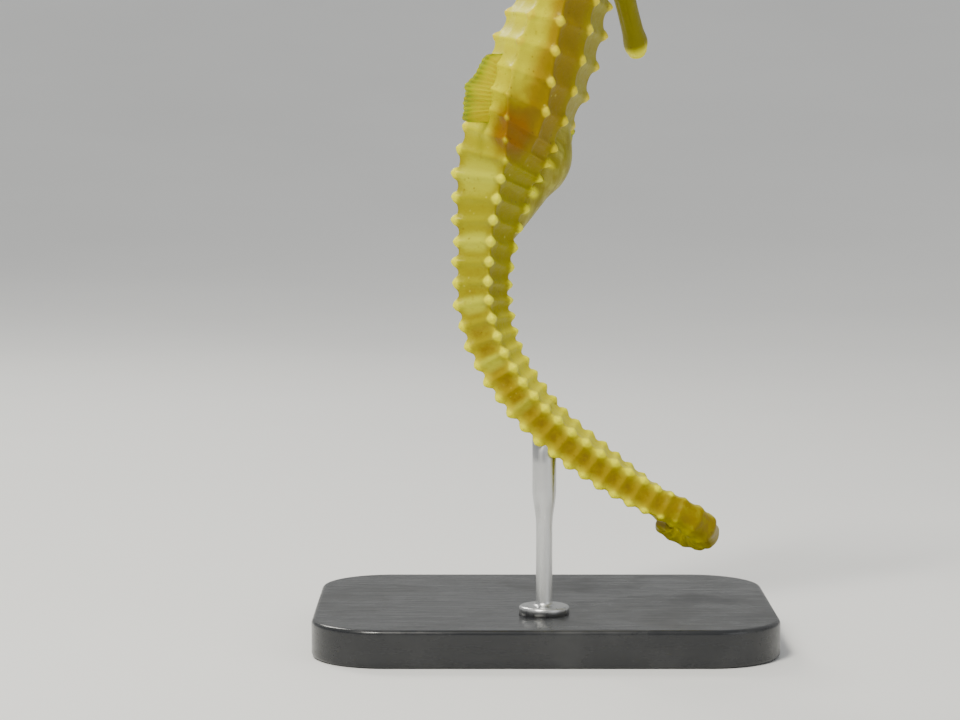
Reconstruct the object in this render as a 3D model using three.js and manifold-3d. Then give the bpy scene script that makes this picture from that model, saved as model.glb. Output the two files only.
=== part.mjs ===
// A longsnout seahorse, life size, on a plain display stand. Millimetres, +Z up.
// The body is one long loft along its spine. Places along it are counted in bony rings:
// 1 to 11 are the trunk's, 12 to 46 the tail's. Angles round it run from the middle of
// the back (0) over the animal's right side to the belly (180).
import * as THREE from 'three';
import { mergeVertices } from 'three/addons/utils/BufferGeometryUtils.js';
import Module from 'manifold-3d';

const wasm = await Module();
wasm.setup();

// Driving dimensions
const gap = 0.3; // air left between neighbouring pieces
const snoutLength = 17.5;
const eyeRadius = 2.4;
const pinSize = 0.62; // half width of a tubercle
const pinFoot = 1.25; // where its foot ends, in half widths
const leastPin = 0.35; // a low one is narrower, down to this part
const ringWaist = 0.05; // how much narrower the body is between two rings
const base = { width: 74, depth: 54, height: 6, corner: 11, bevel: 0.7 };
const rod = { x: -0.2, y: -11.6, radius: 1.3, footRadius: 4, footHeight: 1.4, bevel: 0.6 };
const cup = { radius: 1.9, from: 20, taper: 6, to: 36 }; // heights above the floor

// Spine of trunk and open tail: ring, x, y, z, roll of the back towards -Y in degrees
const spineRows = [
  [2.5, 3.9, -4.2, 121.3, 46],
  [5, 3.6, -4.4, 111.9, 34],
  [7, 2.3, -4.6, 104.1, 28],
  [9, 0.2, -4.9, 95.2, 30],
  [11, -2.8, -5.2, 86.5, 38],
  [13, -6.1, -5.6, 80.2, 46],
  [15, -8.2, -6.4, 74.3, 53],
  [18, -9.5, -8.2, 64.5, 54],
  [21, -9.8, -9.8, 55.4, 57],
  [24, -7.4, -10.9, 47.1, 62],
  [28, -1.1, -11.6, 38.0, 71],
  [32, 7.6, -11.9, 30.6, 77],
  [36, 16.6, -11.8, 24.5, 92],
  [38, 21.0, -11.6, 22.2, 110],
];

// Trunk sections: ring, then the superior, lateral and inferior ridges as side and height,
// the ventral keel's height and the height of the middle of the back
const trunkRows = [
  [2.5, 2.7, 4.5, 4.6, 0.8, 3.1, -3.6, -5.2, 5.0],
  [4, 3.1, 4.9, 5.1, 1.2, 3.5, -4.2, -7.2, 5.4],
  [7, 3.5, 5.3, 5.6, 2.0, 3.7, -4.2, -9.0, 5.8],
  [9, 3.7, 7.2, 5.6, 1.8, 3.9, -4.2, -9.4, 7.8],
  [11, 3.9, 7.6, 5.3, 0.5, 4.2, -4.2, -9.9, 8.1],
  [12, 4.1, 6.6, 5.3, 0.2, 4.5, -4.6, -8.0, 6.9],
  [13, 4.5, 5.6, 5.0, 0, 4.7, -4.8, -6.5, 5.7],
];
const keelEnd = 13.5; // the keel and the lateral ridges end here
// Square tail: ring and half the width between neighbouring ridges
const tailRows = [
  [14, 4.7], [15, 4.2], [16, 3.85], [17, 3.4], [18, 3.1], [21, 2.8], [26, 2.5], [32, 2.35], [38, 2.05],
  [43, 1.4], [46.5, 0.75],
];
const tailEnd = 46.9;
const sectionRows = [
  ...trunkRows,
  ...tailRows.map(([ring, half]) => [ring, half, half, half, 0, half, -half, -half, half]),
];
// Height of the tubercles on the superior, lateral, inferior and ventral ridges
const pinRows = [
  [2.5, 0.7, 0.5, 0.5, 0.8],
  [7, 0.85, 0.6, 0.6, 1.1],
  [9.5, 0.7, 0.6, 0.65, 1.1],
  [11, 0.45, 0.55, 0.7, 1.0],
  [12, 0.6, 0.1, 0.8, 0.4],
  [13, 0.8, 0, 0.85, 0],
  [14, 0.95, 0, 0.85, 0],
  [21, 0.9, 0, 0.75, 0],
  [32, 0.65, 0, 0.5, 0],
  [tailEnd, 0.15, 0, 0.1, 0],
];

// The tail's end curls towards the belly
const coil = { start: 38, turn: 345, tighten: 1.3, sideways: 1.4 };

// Head: distance from the mouth, half height above and below the axis, half width
const mouthPoint = new THREE.Vector3(15.95, 17.4, 95.3);
const headYaw = 65.8;
const headPitch = 55;
const headRows = [
  [0, 1.7, 1.4, 1.4],
  [1.7, 2.3, 1.95, 1.95],
  [4.5, 1.85, 1.8, 1.75],
  [10, 1.8, 1.85, 1.7],
  [14.5, 2.1, 2.3, 2.0],
  [17.5, 3.0, 3.2, 2.7],
  [20, 4.6, 4.4, 3.6],
  [23, 6.0, 5.4, 4.4],
  [27, 6.9, 6.8, 5.0],
  [31, 7.6, 7.6, 5.5],
  [34.5, 7.2, 6.9, 5.4],
  [37.5, 5.6, 5.2, 4.7],
  [40, 2.6, 2.6, 2.6],
];
// Spines of the head: distance, angle, height, half width
const headPins = [
  [24.6, 52, 1.5, 1.1],
  [26.4, 128, 1.2, 0.9],
  [19.2, 0, 0.6, 1.0],
  [29.5, 0, 0.8, 1.3],
  [32.5, 118, 0.9, 1.2],
];
const eye = { along: 22.6, up: 1.2, side: 2.75 };
const headEnd = 40; // distance from the mouth
const headSquareness = 2.2; // 2 would be an ellipse

// Neck: where it ends on the head's axis, the point that it bends round and its own section
const neckShape = { along: 34, bend: [4.3, -3.2, 129.0], above: 4.8, below: 2.9, wide: 4.4 };
const coronetShape = { along: 33.2, up: 5.6, lean: 22, height: 3.9, lobes: 5 };
// Coronet from stalk to rim and hollow: part of the height, radius, depth of the lobes
const coronetRows = [[0, 2.0, 0], [0.4, 1.6, 0.1], [0.75, 1.8, 0.25], [1, 2.05, 0.4], [0.86, 1.1, 0.15]];

// Brood pouch: ring, distance of its middle below the spine, half width, half depth
const pouchRows = [
  [11.5, 7.4, 3.4, 3.6],
  [12.2, 8.0, 4.9, 4.8],
  [13.4, 8.4, 5.3, 5.1],
  [14.5, 7.9, 4.9, 4.8],
  [15.5, 6.9, 4.4, 4.3],
  [16.6, 5.5, 3.3, 3.2],
  [17.9, 3.9, 1.4, 1.4],
];

// Fins: the rays' root sits below the skin by sink; lean and fan are in degrees
const fin = { thickness: 0.6, rayRelief: 0.18, steps: 2 };
const dorsalFin = { from: 9.6, to: 12.4, height: 5.4, angle: 0, sink: 1.2, rays: 9 };
const analFin = { from: 11.05, to: 11.55, height: 1.7, angle: 180, sink: 1, rays: 4 };
const backFinLean = { front: -12, rear: 38 };
// Height along a middle fin: a part of it everywhere, the rest following a sine
const finOutline = { least: 0.35, from: 0.05, span: 0.65 };
const pectoralFin = {
  along: 36.6, side: 3.6, top: 0.4, root: 3.2, length: 6.6, round: 1.4, fan: 30, sweep: 52, rays: 8,
};

const radians = THREE.MathUtils.degToRad;

// Smooth curve through rows of numbers, read at a place given by the first column
function follow(rows, place) {
  const last = rows.length - 1;
  let k = rows.findIndex((row) => row[0] > place) - 1;
  if (k < 0) k = place < rows[0][0] ? 0 : last - 1;
  const slope = (i, c) => {
    const before = rows[Math.max(i - 1, 0)];
    const after = rows[Math.min(i + 1, last)];
    return (after[c] - before[c]) / (after[0] - before[0]);
  };
  const span = rows[k + 1][0] - rows[k][0];
  const t = THREE.MathUtils.clamp((place - rows[k][0]) / span, 0, 1);
  const keep = 2 * t ** 3 - 3 * t ** 2 + 1;
  const pull = (t ** 3 - 2 * t ** 2 + t) * span;
  const push = (t ** 3 - t ** 2) * span;
  return rows[k].map((value, c) => (
    keep * value + (1 - keep) * rows[k + 1][c] + pull * slope(k, c) + push * slope(k + 1, c)
  ));
}

// Length of one ring along the spine
function ringLength(ring) {
  return ring < 12 ? 4.3 : 3.7 - 0.043 * (ring - 11);
}

// Frame from a tail-ward direction and a direction for the back
function makeFrame(centre, along, back) {
  const up = back.clone().addScaledVector(along, -back.dot(along)).normalize();
  return { centre, along, up, side: new THREE.Vector3().crossVectors(up, along) };
}

function openFrame(ring) {
  const step = 0.05;
  const at = (r) => new THREE.Vector3(...follow(spineRows, r).slice(1, 4));
  const low = Math.max(ring - step, spineRows[0][0]);
  const high = Math.min(ring + step, coil.start);
  const along = at(high).sub(at(low)).normalize();
  const roll = radians(follow(spineRows, ring)[4]);
  const away = new THREE.Vector3(0, 1, 0);
  const left = away.clone().cross(along).normalize();
  const near = away.addScaledVector(along, -away.dot(along)).normalize().negate();
  const back = left.multiplyScalar(Math.cos(roll)).addScaledVector(near, Math.sin(roll));
  return makeFrame(at(ring), along, back);
}

// The curl: the heading turns from the tail's direction towards the belly, faster and faster
const coilStep = 0.1;
const coilFrames = [];
{
  const start = openFrame(coil.start);
  const place = start.centre.clone();
  for (let i = 0; coil.start + i * coilStep < tailEnd + coilStep; i += 1) {
    const part = (i * coilStep) / (tailEnd - coil.start);
    const heading = radians(coil.turn) * part ** coil.tighten;
    const along = start.along.clone().multiplyScalar(Math.cos(heading));
    along.addScaledVector(start.up, -Math.sin(heading));
    const back = start.up.clone().multiplyScalar(Math.cos(heading));
    back.addScaledVector(start.along, Math.sin(heading));
    const drift = start.side.clone().multiplyScalar(-coil.sideways * part ** 2);
    coilFrames.push(makeFrame(place.clone().add(drift), along, back));
    place.addScaledVector(along, ringLength(coil.start + i * coilStep) * coilStep);
  }
}

function coilFrame(ring) {
  const i = Math.min((ring - coil.start) / coilStep, coilFrames.length - 1.001);
  const low = coilFrames[Math.floor(i)];
  const high = coilFrames[Math.floor(i) + 1];
  const t = i - Math.floor(i);
  const centre = low.centre.clone().lerp(high.centre, t);
  return makeFrame(centre, low.along.clone().lerp(high.along, t).normalize(), low.up);
}

function bodyFrame(ring) {
  return ring > coil.start ? coilFrame(ring) : openFrame(ring);
}

// Head axis: from the mouth up to the neck
const yaw = radians(headYaw);
const pitch = radians(headPitch);
const forward = new THREE.Vector3(Math.cos(yaw), Math.sin(yaw), 0);
const snoutward = forward.clone().multiplyScalar(Math.cos(pitch)).setZ(-Math.sin(pitch));
const crown = forward.clone().multiplyScalar(Math.sin(pitch)).setZ(Math.cos(pitch));

function headFrame(distance) {
  const centre = mouthPoint.clone().addScaledVector(snoutward, -distance);
  return makeFrame(centre, snoutward.clone().negate(), crown);
}

// The neck turns like a fan from the trunk's first rings into the back of the head
function neckFrame(t) {
  const low = openFrame(spineRows[0][0]);
  const high = headFrame(neckShape.along);
  const bend = new THREE.Vector3(...neckShape.bend);
  const centre = low.centre.clone().multiplyScalar((1 - t) ** 2);
  centre.addScaledVector(bend, 2 * t * (1 - t)).addScaledVector(high.centre, t ** 2);
  const turn = ({ side, up, along }) => {
    const matrix = new THREE.Matrix4().makeBasis(side, up, along);
    return new THREE.Quaternion().setFromRotationMatrix(matrix);
  };
  const quaternion = turn(low).slerp(turn(high), t);
  const along = new THREE.Vector3(0, 0, 1).applyQuaternion(quaternion);
  const up = new THREE.Vector3(0, 1, 0).applyQuaternion(quaternion);
  return makeFrame(centre, along, up);
}

// Distance from the spine to the skin: straight lines between the ridges
function ridges(ring) {
  const row = follow(sectionRows, ring);
  const points = [[0, row[8]], [row[1], row[2]], [row[3], row[4]], [row[5], row[6]], [0, row[7]]];
  return points.map(([side, up]) => ({ angle: Math.atan2(side, up), reach: Math.hypot(side, up) }));
}

function sectionReach(knots, angle) {
  const k = Math.max(1, knots.findIndex((knot) => knot.angle >= angle - 1e-9));
  const a = knots[k - 1];
  const b = knots[k];
  const cross = a.reach * b.reach * Math.sin(b.angle - a.angle);
  return cross / (a.reach * Math.sin(angle - a.angle) + b.reach * Math.sin(b.angle - angle));
}

// Tubercles stand where a ridge crosses the middle of a ring
function pins(knots, ring, angle) {
  const heights = follow(pinRows, ring).slice(1);
  const along = (ring - Math.round(ring)) * ringLength(ring);
  return knots.slice(1).reduce((total, knot, k) => {
    const height = Math.max(heights[k], 0);
    const size = pinSize * Math.min(1, leastPin + height);
    const across = (angle - knot.angle) * knot.reach;
    return total + height * Math.exp(-(across ** 2 + along ** 2) / size ** 2);
  }, 0);
}

function bodyPoint(ring, angle, grow = 0) {
  const knots = ridges(ring);
  const turn = Math.abs(angle);
  const waist = 1 - (ringWaist / 2) * (1 - Math.cos(2 * Math.PI * ring));
  const reach = sectionReach(knots, turn) * waist + pins(knots, ring, turn) + grow;
  const { centre, up, side } = bodyFrame(ring);
  return centre.addScaledVector(up, reach * Math.cos(angle))
    .addScaledVector(side, reach * Math.sin(angle));
}

// Columns of the loft follow the ridges, with one more on each side of every tubercle
function bodyColumns(ring, onTrunk) {
  const knots = ridges(ring);
  const foot = (k) => (pinSize * pinFoot) / knots[k].reach;
  const ridge = (k) => [knots[k].angle - foot(k), knots[k].angle, knots[k].angle + foot(k)];
  const half = [0, ...ridge(1)];
  if (onTrunk) half.push((knots[1].angle + knots[2].angle) / 2, ...ridge(2));
  else half.push(knots[2].angle);
  half.push(...ridge(3));
  if (onTrunk) half.push(Math.PI - foot(4));
  return [...half, Math.PI, ...half.slice(1).reverse().map((angle) => -angle)];
}

function signedVolume(positions, index) {
  const corner = (i) => new THREE.Vector3().fromArray(positions, 3 * index[i]);
  let volume = 0;
  for (let i = 0; i < index.length; i += 3) {
    volume += corner(i).dot(corner(i + 1).cross(corner(i + 2))) / 6;
  }
  return volume;
}

// Closed loft through loops of points, each end closed by a fan round its middle
function loft(loops) {
  const count = loops[0].length;
  const middle = (loop) => loop.reduce((sum, p) => sum.add(p), new THREE.Vector3())
    .divideScalar(count);
  const points = [...loops.flat(), middle(loops[0]), middle(loops[loops.length - 1])];
  const first = loops.length * count;
  const index = [];
  for (let j = 0; j < count; j += 1) {
    const next = (j + 1) % count;
    for (let i = 0; i < loops.length - 1; i += 1) {
      const [a, b, c, d] = [i * count + j, i * count + next, (i + 1) * count + j, (i + 1) * count + next];
      index.push(a, c, d, a, d, b);
    }
    index.push(first, j, next);
    index.push(first + 1, first - count + next, first - count + j);
  }
  const positions = points.flatMap((p) => p.toArray());
  if (signedVolume(positions, index) < 0) index.reverse();
  const geometry = new THREE.BufferGeometry();
  geometry.setAttribute('position', new THREE.Float32BufferAttribute(positions, 3));
  geometry.setIndex(index);
  return geometry;
}

function toSolid(source) {
  const plain = source.clone();
  plain.deleteAttribute('normal');
  plain.deleteAttribute('uv');
  const geometry = mergeVertices(plain, 1e-4);
  return new wasm.Manifold(new wasm.Mesh({
    numProp: 3,
    vertProperties: new Float32Array(geometry.attributes.position.array),
    triVerts: new Uint32Array(geometry.index.array),
  }));
}

function toGeometry(solid) {
  const mesh = solid.getMesh();
  const geometry = new THREE.BufferGeometry();
  geometry.setAttribute('position', new THREE.Float32BufferAttribute(mesh.vertProperties, 3));
  geometry.setIndex(new THREE.BufferAttribute(mesh.triVerts, 1));
  return geometry;
}

function cut(geometry, ...tools) {
  return toGeometry(tools.reduce((solid, tool) => solid.subtract(tool), toSolid(geometry)));
}

// A length of the body between two rings. Three sections to each ring, two where it is thin
function bodyLength(from, to, grow = 0) {
  const sections = from >= coil.start - 1 ? [0, 0.5] : [0, 0.32, 0.68];
  const closest = 0.12;
  const low = grow ? from : from + gap / 2 / ringLength(from);
  const high = grow ? to : to - gap / 2 / ringLength(to);
  const places = [low];
  for (let ring = Math.floor(from); ring <= to; ring += 1) {
    places.push(...sections.map((section) => ring + section)
      .filter((place) => place > low + closest && place < high - closest));
  }
  places.push(high);
  const onTrunk = (from + to) / 2 < keelEnd;
  return loft(places.map((ring) => (
    bodyColumns(ring, onTrunk).map((angle) => bodyPoint(ring, angle, grow))
  )));
}

function headPoint(distance, angle, grow = 0) {
  const [, above, below, wide] = follow(headRows, distance);
  const tall = Math.cos(angle) > 0 ? above : below;
  const power = headSquareness;
  const spread = Math.abs(Math.cos(angle) / tall) ** power + Math.abs(Math.sin(angle) / wide) ** power;
  let reach = spread ** (-1 / power);
  headPins.forEach(([place, turn, height, size]) => {
    const across = (Math.abs(angle) - radians(turn)) * reach;
    reach += height * Math.exp(-(across ** 2 + (distance - place) ** 2) / size ** 2);
  });
  reach += grow;
  const { centre, up, side } = headFrame(distance);
  return centre.addScaledVector(up, reach * Math.cos(angle))
    .addScaledVector(side, reach * Math.sin(angle));
}

function headPart(from, to, rings, around, grow = 0) {
  const loops = [];
  for (let i = 0; i <= rings; i += 1) {
    const distance = THREE.MathUtils.lerp(from, to, i / rings);
    loops.push(Array.from({ length: around }, (_, j) => (
      headPoint(distance, ((j / around) * 2 - 1) * Math.PI, grow)
    )));
  }
  return loft(loops);
}

function neckBody() {
  const steps = 7;
  const around = 24;
  const trunk = ridges(spineRows[0][0]);
  const start = 0.01;
  const loops = [];
  for (let i = 0; i <= steps; i += 1) {
    const t = THREE.MathUtils.lerp(start, 1, i / steps);
    const frame = neckFrame(t);
    const blend = THREE.MathUtils.smoothstep(t, 0, 0.5);
    loops.push(Array.from({ length: around }, (_, j) => {
      const angle = ((j / around) * 2 - 1) * Math.PI;
      const tall = Math.cos(angle) < 0 ? neckShape.below : neckShape.above;
      const round = Math.hypot(Math.cos(angle) / tall, Math.sin(angle) / neckShape.wide) ** -1;
      const square = sectionReach(trunk, Math.abs(angle)) * (1 - ringWaist);
      const reach = THREE.MathUtils.lerp(square, round, blend);
      return frame.centre.clone().addScaledVector(frame.up, reach * Math.cos(angle))
        .addScaledVector(frame.side, reach * Math.sin(angle));
    }));
  }
  return loft(loops);
}

function pouchBody() {
  const steps = 10;
  const around = 16;
  const loops = [];
  for (let i = 0; i <= steps; i += 1) {
    const ring = THREE.MathUtils.lerp(pouchRows[0][0], pouchRows[pouchRows.length - 1][0], i / steps);
    const [, drop, wide, deep] = follow(pouchRows, ring);
    const frame = bodyFrame(ring);
    loops.push(Array.from({ length: around }, (_, j) => {
      const angle = (j / around) * 2 * Math.PI;
      return frame.centre.clone().addScaledVector(frame.up, deep * Math.cos(angle) - drop)
        .addScaledVector(frame.side, wide * Math.sin(angle));
    }));
  }
  return loft(loops);
}

// Fan of rays: the root runs along u from 0 to 1, each ray rises along its own direction
function finBlade(rays, rootAt, rayAt, heightAt) {
  const loops = [];
  for (let i = 0; i <= rays * 2; i += 1) {
    const u = i / (rays * 2);
    const root = rootAt(u);
    const ray = rayAt(u);
    const run = rootAt(Math.min(u + 0.01, 1)).sub(rootAt(Math.max(u - 0.01, 0)));
    const across = run.cross(ray).normalize();
    const half = (fin.thickness + (i % 2) * fin.rayRelief) / 2;
    const point = (v, sign) => root.clone().addScaledVector(ray, v * heightAt(u))
      .addScaledVector(across, sign * half);
    const rise = Array.from({ length: fin.steps + 1 }, (_, j) => j / fin.steps);
    loops.push([...rise.map((v) => point(v, 1)), ...rise.reverse().map((v) => point(v, -1))]);
  }
  return loft(loops);
}

// Fin on the middle line of the back or belly, highest a little behind its middle
function middleFin({ from, to, height, angle, sink, rays }) {
  const turn = radians(angle);
  const ringAt = (u) => THREE.MathUtils.lerp(from, to, u);
  const rayAt = (u) => {
    const { up, along } = bodyFrame(ringAt(u));
    const lean = radians(THREE.MathUtils.lerp(backFinLean.front, backFinLean.rear, u));
    return up.clone().multiplyScalar(Math.cos(lean) * Math.cos(turn))
      .addScaledVector(along, Math.sin(lean));
  };
  const { least, from: start, span } = finOutline;
  const wave = (u) => Math.sin(Math.PI * (start + span * u));
  const heightAt = (u) => sink + height * (least + (1 - least) * wave(u));
  return finBlade(rays, (u) => bodyPoint(ringAt(u), turn, -sink), rayAt, heightAt);
}

// Fan just behind the gill cover, swept towards the trunk
function sideFin(sign) {
  const { along, side, top, root, length, round, fan, sweep, rays } = pectoralFin;
  const frame = headFrame(along);
  const outward = frame.side.clone().multiplyScalar(sign);
  const middle = outward.clone().multiplyScalar(Math.cos(radians(sweep)))
    .addScaledVector(frame.along, Math.sin(radians(sweep)));
  const rootAt = (u) => frame.centre.clone().addScaledVector(outward, side)
    .addScaledVector(frame.up, top - root * u);
  const rayAt = (u) => {
    const turn = radians(fan * (1 - 2 * u));
    return middle.clone().multiplyScalar(Math.cos(turn)).addScaledVector(frame.up, Math.sin(turn));
  };
  return finBlade(rays, rootAt, rayAt, (u) => length - round * (2 * u - 1) ** 2);
}

function coronetBody() {
  const { centre, up, along } = headFrame(coronetShape.along);
  const lean = radians(coronetShape.lean);
  const rise = up.clone().multiplyScalar(Math.cos(lean)).addScaledVector(along, Math.sin(lean));
  const frame = makeFrame(centre.clone().addScaledVector(up, coronetShape.up), rise, along);
  const around = coronetShape.lobes * 4;
  return loft(coronetRows.map(([height, radius, lobe]) => Array.from({ length: around }, (_, j) => {
    const angle = (j / around) * 2 * Math.PI;
    const wave = Math.cos(coronetShape.lobes * angle);
    const out = radius * (1 + 0.5 * lobe * wave);
    return frame.centre.clone().addScaledVector(rise, coronetShape.height * height + lobe * wave)
      .addScaledVector(frame.up, out * Math.cos(angle))
      .addScaledVector(frame.side, out * Math.sin(angle));
  })));
}

function eyePlace(sign) {
  const { centre, up, side } = headFrame(eye.along);
  return centre.addScaledVector(up, eye.up).addScaledVector(side, sign * eye.side);
}

function ball(radius, place) {
  return new THREE.SphereGeometry(radius, 12, 8).translate(...place.toArray());
}

function standBase() {
  const { width, depth, height, corner, bevel } = base;
  const [x, y, r] = [width / 2 - bevel, depth / 2 - bevel, corner];
  const outline = new THREE.Shape();
  outline.absarc(x - r, y - r, r, 0, Math.PI / 2);
  outline.absarc(r - x, y - r, r, Math.PI / 2, Math.PI);
  outline.absarc(r - x, r - y, r, Math.PI, Math.PI * 1.5);
  outline.absarc(x - r, r - y, r, Math.PI * 1.5, Math.PI * 2);
  return new THREE.ExtrudeGeometry(outline, {
    depth: height - 2 * bevel,
    bevelThickness: bevel,
    bevelSize: bevel,
    bevelSegments: 1,
    curveSegments: 6,
  }).translate(0, 0, bevel);
}

function standRod() {
  const { x, y, radius, footRadius, footHeight, bevel } = rod;
  const bottom = base.height;
  const profile = [
    [0, bottom], [footRadius, bottom], [footRadius, bottom + footHeight - bevel],
    [footRadius - bevel, bottom + footHeight], [radius + bevel, bottom + footHeight],
    [radius, bottom + footHeight + bevel], [radius, cup.from], [cup.radius, cup.from + cup.taper],
    [cup.radius, cup.to], [0, cup.to],
  ].map(([out, z]) => new THREE.Vector2(out, z));
  return new THREE.LatheGeometry(profile, 16).rotateX(Math.PI / 2).translate(x, y, 0);
}

const finishes = {
  skin: { color: 0xd2b81e, roughness: 0.5, metalness: 0 },
  pouch: { color: 0x9a9440, roughness: 0.45, metalness: 0 },
  fin: { color: 0xcfd06a, roughness: 0.4, metalness: 0 },
  eye: { color: 0x3a2a10, roughness: 0.15, metalness: 0 },
  plinth: { color: 0x17181a, roughness: 0.35, metalness: 0 },
  steel: { color: 0xb4b6b8, roughness: 0.3, metalness: 1 },
};

const seahorse = new THREE.Group();
function add(name, geometry, finish) {
  const mesh = new THREE.Mesh(geometry, new THREE.MeshStandardMaterial(finishes[finish]));
  mesh.name = name;
  seahorse.add(mesh);
}

// Room for the head, for the body under pouch and fins, and for the tail over the rod
const headSpace = toSolid(headPart(snoutLength - 2, headEnd + gap, 16, 24, gap));
const baseSpace = toSolid(bodyLength(9, 20, gap));
const restSpace = toSolid(bodyLength(25, 32, gap));
const neck = neckBody();
const neckSpace = toSolid(neck);
const pouch = pouchBody();
const pouchSpace = toSolid(pouch);
const sockets = [1, -1].map((sign) => toSolid(ball(eyeRadius + gap, eyePlace(sign))));

add('head', cut(headPart(snoutLength + gap / 2, headEnd, 15, 24), ...sockets), 'skin');
add('snout', headPart(1.8, snoutLength - gap / 2, 9, 14), 'skin');
add('mouth', headPart(0, 1.5, 2, 14), 'skin');
add('coronet', cut(coronetBody(), headSpace, neckSpace), 'skin');
add('eye_right', ball(eyeRadius, eyePlace(1)), 'eye');
add('eye_left', ball(eyeRadius, eyePlace(-1)), 'eye');
add('neck', cut(neck, headSpace), 'skin');
add('trunk', cut(bodyLength(2.5, 11.5), headSpace), 'skin');
[
  ['tail_base', 11.5, 17.5],
  ['tail_upper', 17.5, 23.5],
  ['tail_middle', 23.5, 30.5],
  ['tail_lower', 30.5, 37.5],
  ['tail_tip', 37.5, tailEnd],
].forEach(([name, from, to]) => add(name, bodyLength(from, to), 'skin'));
add('brood_pouch', cut(pouch, baseSpace), 'pouch');
add('dorsal_fin', cut(middleFin(dorsalFin), baseSpace), 'fin');
add('anal_fin', cut(middleFin(analFin), baseSpace, pouchSpace), 'fin');
add('pectoral_fin_right', cut(sideFin(1), headSpace, neckSpace), 'fin');
add('pectoral_fin_left', cut(sideFin(-1), headSpace, neckSpace), 'fin');
add('stand_base', standBase(), 'plinth');
add('stand_rod', cut(standRod(), restSpace), 'steel');

export default seahorse;
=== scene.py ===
import math

import bpy
import numpy as np
from mathutils import Matrix, Vector


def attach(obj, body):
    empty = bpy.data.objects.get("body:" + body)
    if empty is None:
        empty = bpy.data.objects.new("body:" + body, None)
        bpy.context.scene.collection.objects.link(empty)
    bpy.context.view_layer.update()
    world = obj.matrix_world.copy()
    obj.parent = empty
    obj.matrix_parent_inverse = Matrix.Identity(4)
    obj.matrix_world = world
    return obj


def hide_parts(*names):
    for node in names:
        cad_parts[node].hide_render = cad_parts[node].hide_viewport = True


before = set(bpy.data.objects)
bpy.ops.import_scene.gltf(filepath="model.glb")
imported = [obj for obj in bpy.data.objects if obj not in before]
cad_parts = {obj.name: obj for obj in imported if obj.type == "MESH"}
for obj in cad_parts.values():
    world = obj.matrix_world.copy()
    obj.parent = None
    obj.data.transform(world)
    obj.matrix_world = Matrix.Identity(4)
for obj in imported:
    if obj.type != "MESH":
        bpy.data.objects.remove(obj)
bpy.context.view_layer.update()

print("frame loaded,", len(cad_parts), "nodes")

mm = 0.001
scene = bpy.context.scene

view = {
    "target": (-0.0104, -0.006, 0.046),
    "distance": 0.45,
    "pitch": 5.0,          # degrees looking down
    "lens": 105.47,
    "nearClip": 0.01,
}
studio = {
    "floorColor": (0.9, 0.9, 0.885, 1), "floorShade": (0.66, 0.66, 0.65, 1),
    "skyColor": (0.93, 0.94, 0.95, 1), "skyStrength": 0.58,
    "aim": (0, 0, 0.06),
    # place, size, strength in watts, colour
    "key": ((-0.22, -0.36, 0.6), 0.17, 5.3, (1.0, 0.97, 0.88)),
    "fill": ((0.5, -0.45, 0.26), 0.4, 0.6, (0.94, 0.97, 1.0)),
    "rim": ((-0.3, 0.42, 0.46), 0.2, 1.7, (1.0, 0.98, 0.9)),
}


def makeCamera():
    data = bpy.data.cameras.new("camera")
    data.lens = view["lens"]
    data.clip_start = view["nearClip"]
    camera = bpy.data.objects.new("camera", data)
    scene.collection.objects.link(camera)
    pitch = math.radians(view["pitch"])
    back = Vector((0, -math.cos(pitch), math.sin(pitch))) * view["distance"]
    camera.location = Vector(view["target"]) + back
    camera.rotation_euler = (math.pi / 2 - pitch, 0, 0)
    scene.camera = camera


def makeLight(name, place, size, power, color):
    data = bpy.data.lights.new(name, "AREA")
    data.size = size
    data.energy = power
    data.color = color
    lamp = bpy.data.objects.new(name, data)
    scene.collection.objects.link(lamp)
    lamp.location = place
    aim = Vector(studio["aim"]) - Vector(place)
    lamp.rotation_euler = aim.to_track_quat("-Z", "Y").to_euler()


def makeSky():
    world = bpy.data.worlds.new("studioSky")
    world.use_nodes = True
    back = world.node_tree.nodes["Background"]
    back.inputs["Color"].default_value = studio["skyColor"]
    back.inputs["Strength"].default_value = studio["skyStrength"]
    scene.world = world


def unit(v):
    return v / np.linalg.norm(v, axis=-1, keepdims=True)


def dots(a, b):
    return np.sum(a * b, axis=-1, keepdims=True)


def smoothStep(low, high, x):
    t = np.clip((x - low) / (high - low), 0, 1)
    return t * t * (3 - 2 * t)


# rises over the first two places and falls over the last two
def plateau(rise, fall, x):
    return smoothStep(*rise, x) * (1 - smoothStep(*fall, x))


def mix(a, b, t):
    return a + (b - a) * t


# one in the middle, about a third of that at a distance of one width, then fading out
def bell(x, width=1.0):
    return np.exp(-(x / width) ** 2)


# repeats once in each 1 of x: one at whole numbers, zero halfway
def pulse(x):
    return 0.5 + 0.5 * np.cos(2 * np.pi * x)


# the larger of two, rounded over a width where they are alike
def smoothMax(a, b, width):
    t = np.clip(0.5 + 0.5 * (a - b) / width, 0, 1)
    return mix(b, a, t) + width * t * (1 - t)


# points at a reach and angle about a centre, where up is at zero; one row for each centre
def ringPoints(centre, up, side, reach, turn):
    centre, up, side = (np.asarray(part)[..., None, :] for part in (centre, up, side))
    return centre + up * (reach * np.cos(turn))[..., None] + side * (reach * np.sin(turn))[..., None]


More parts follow.
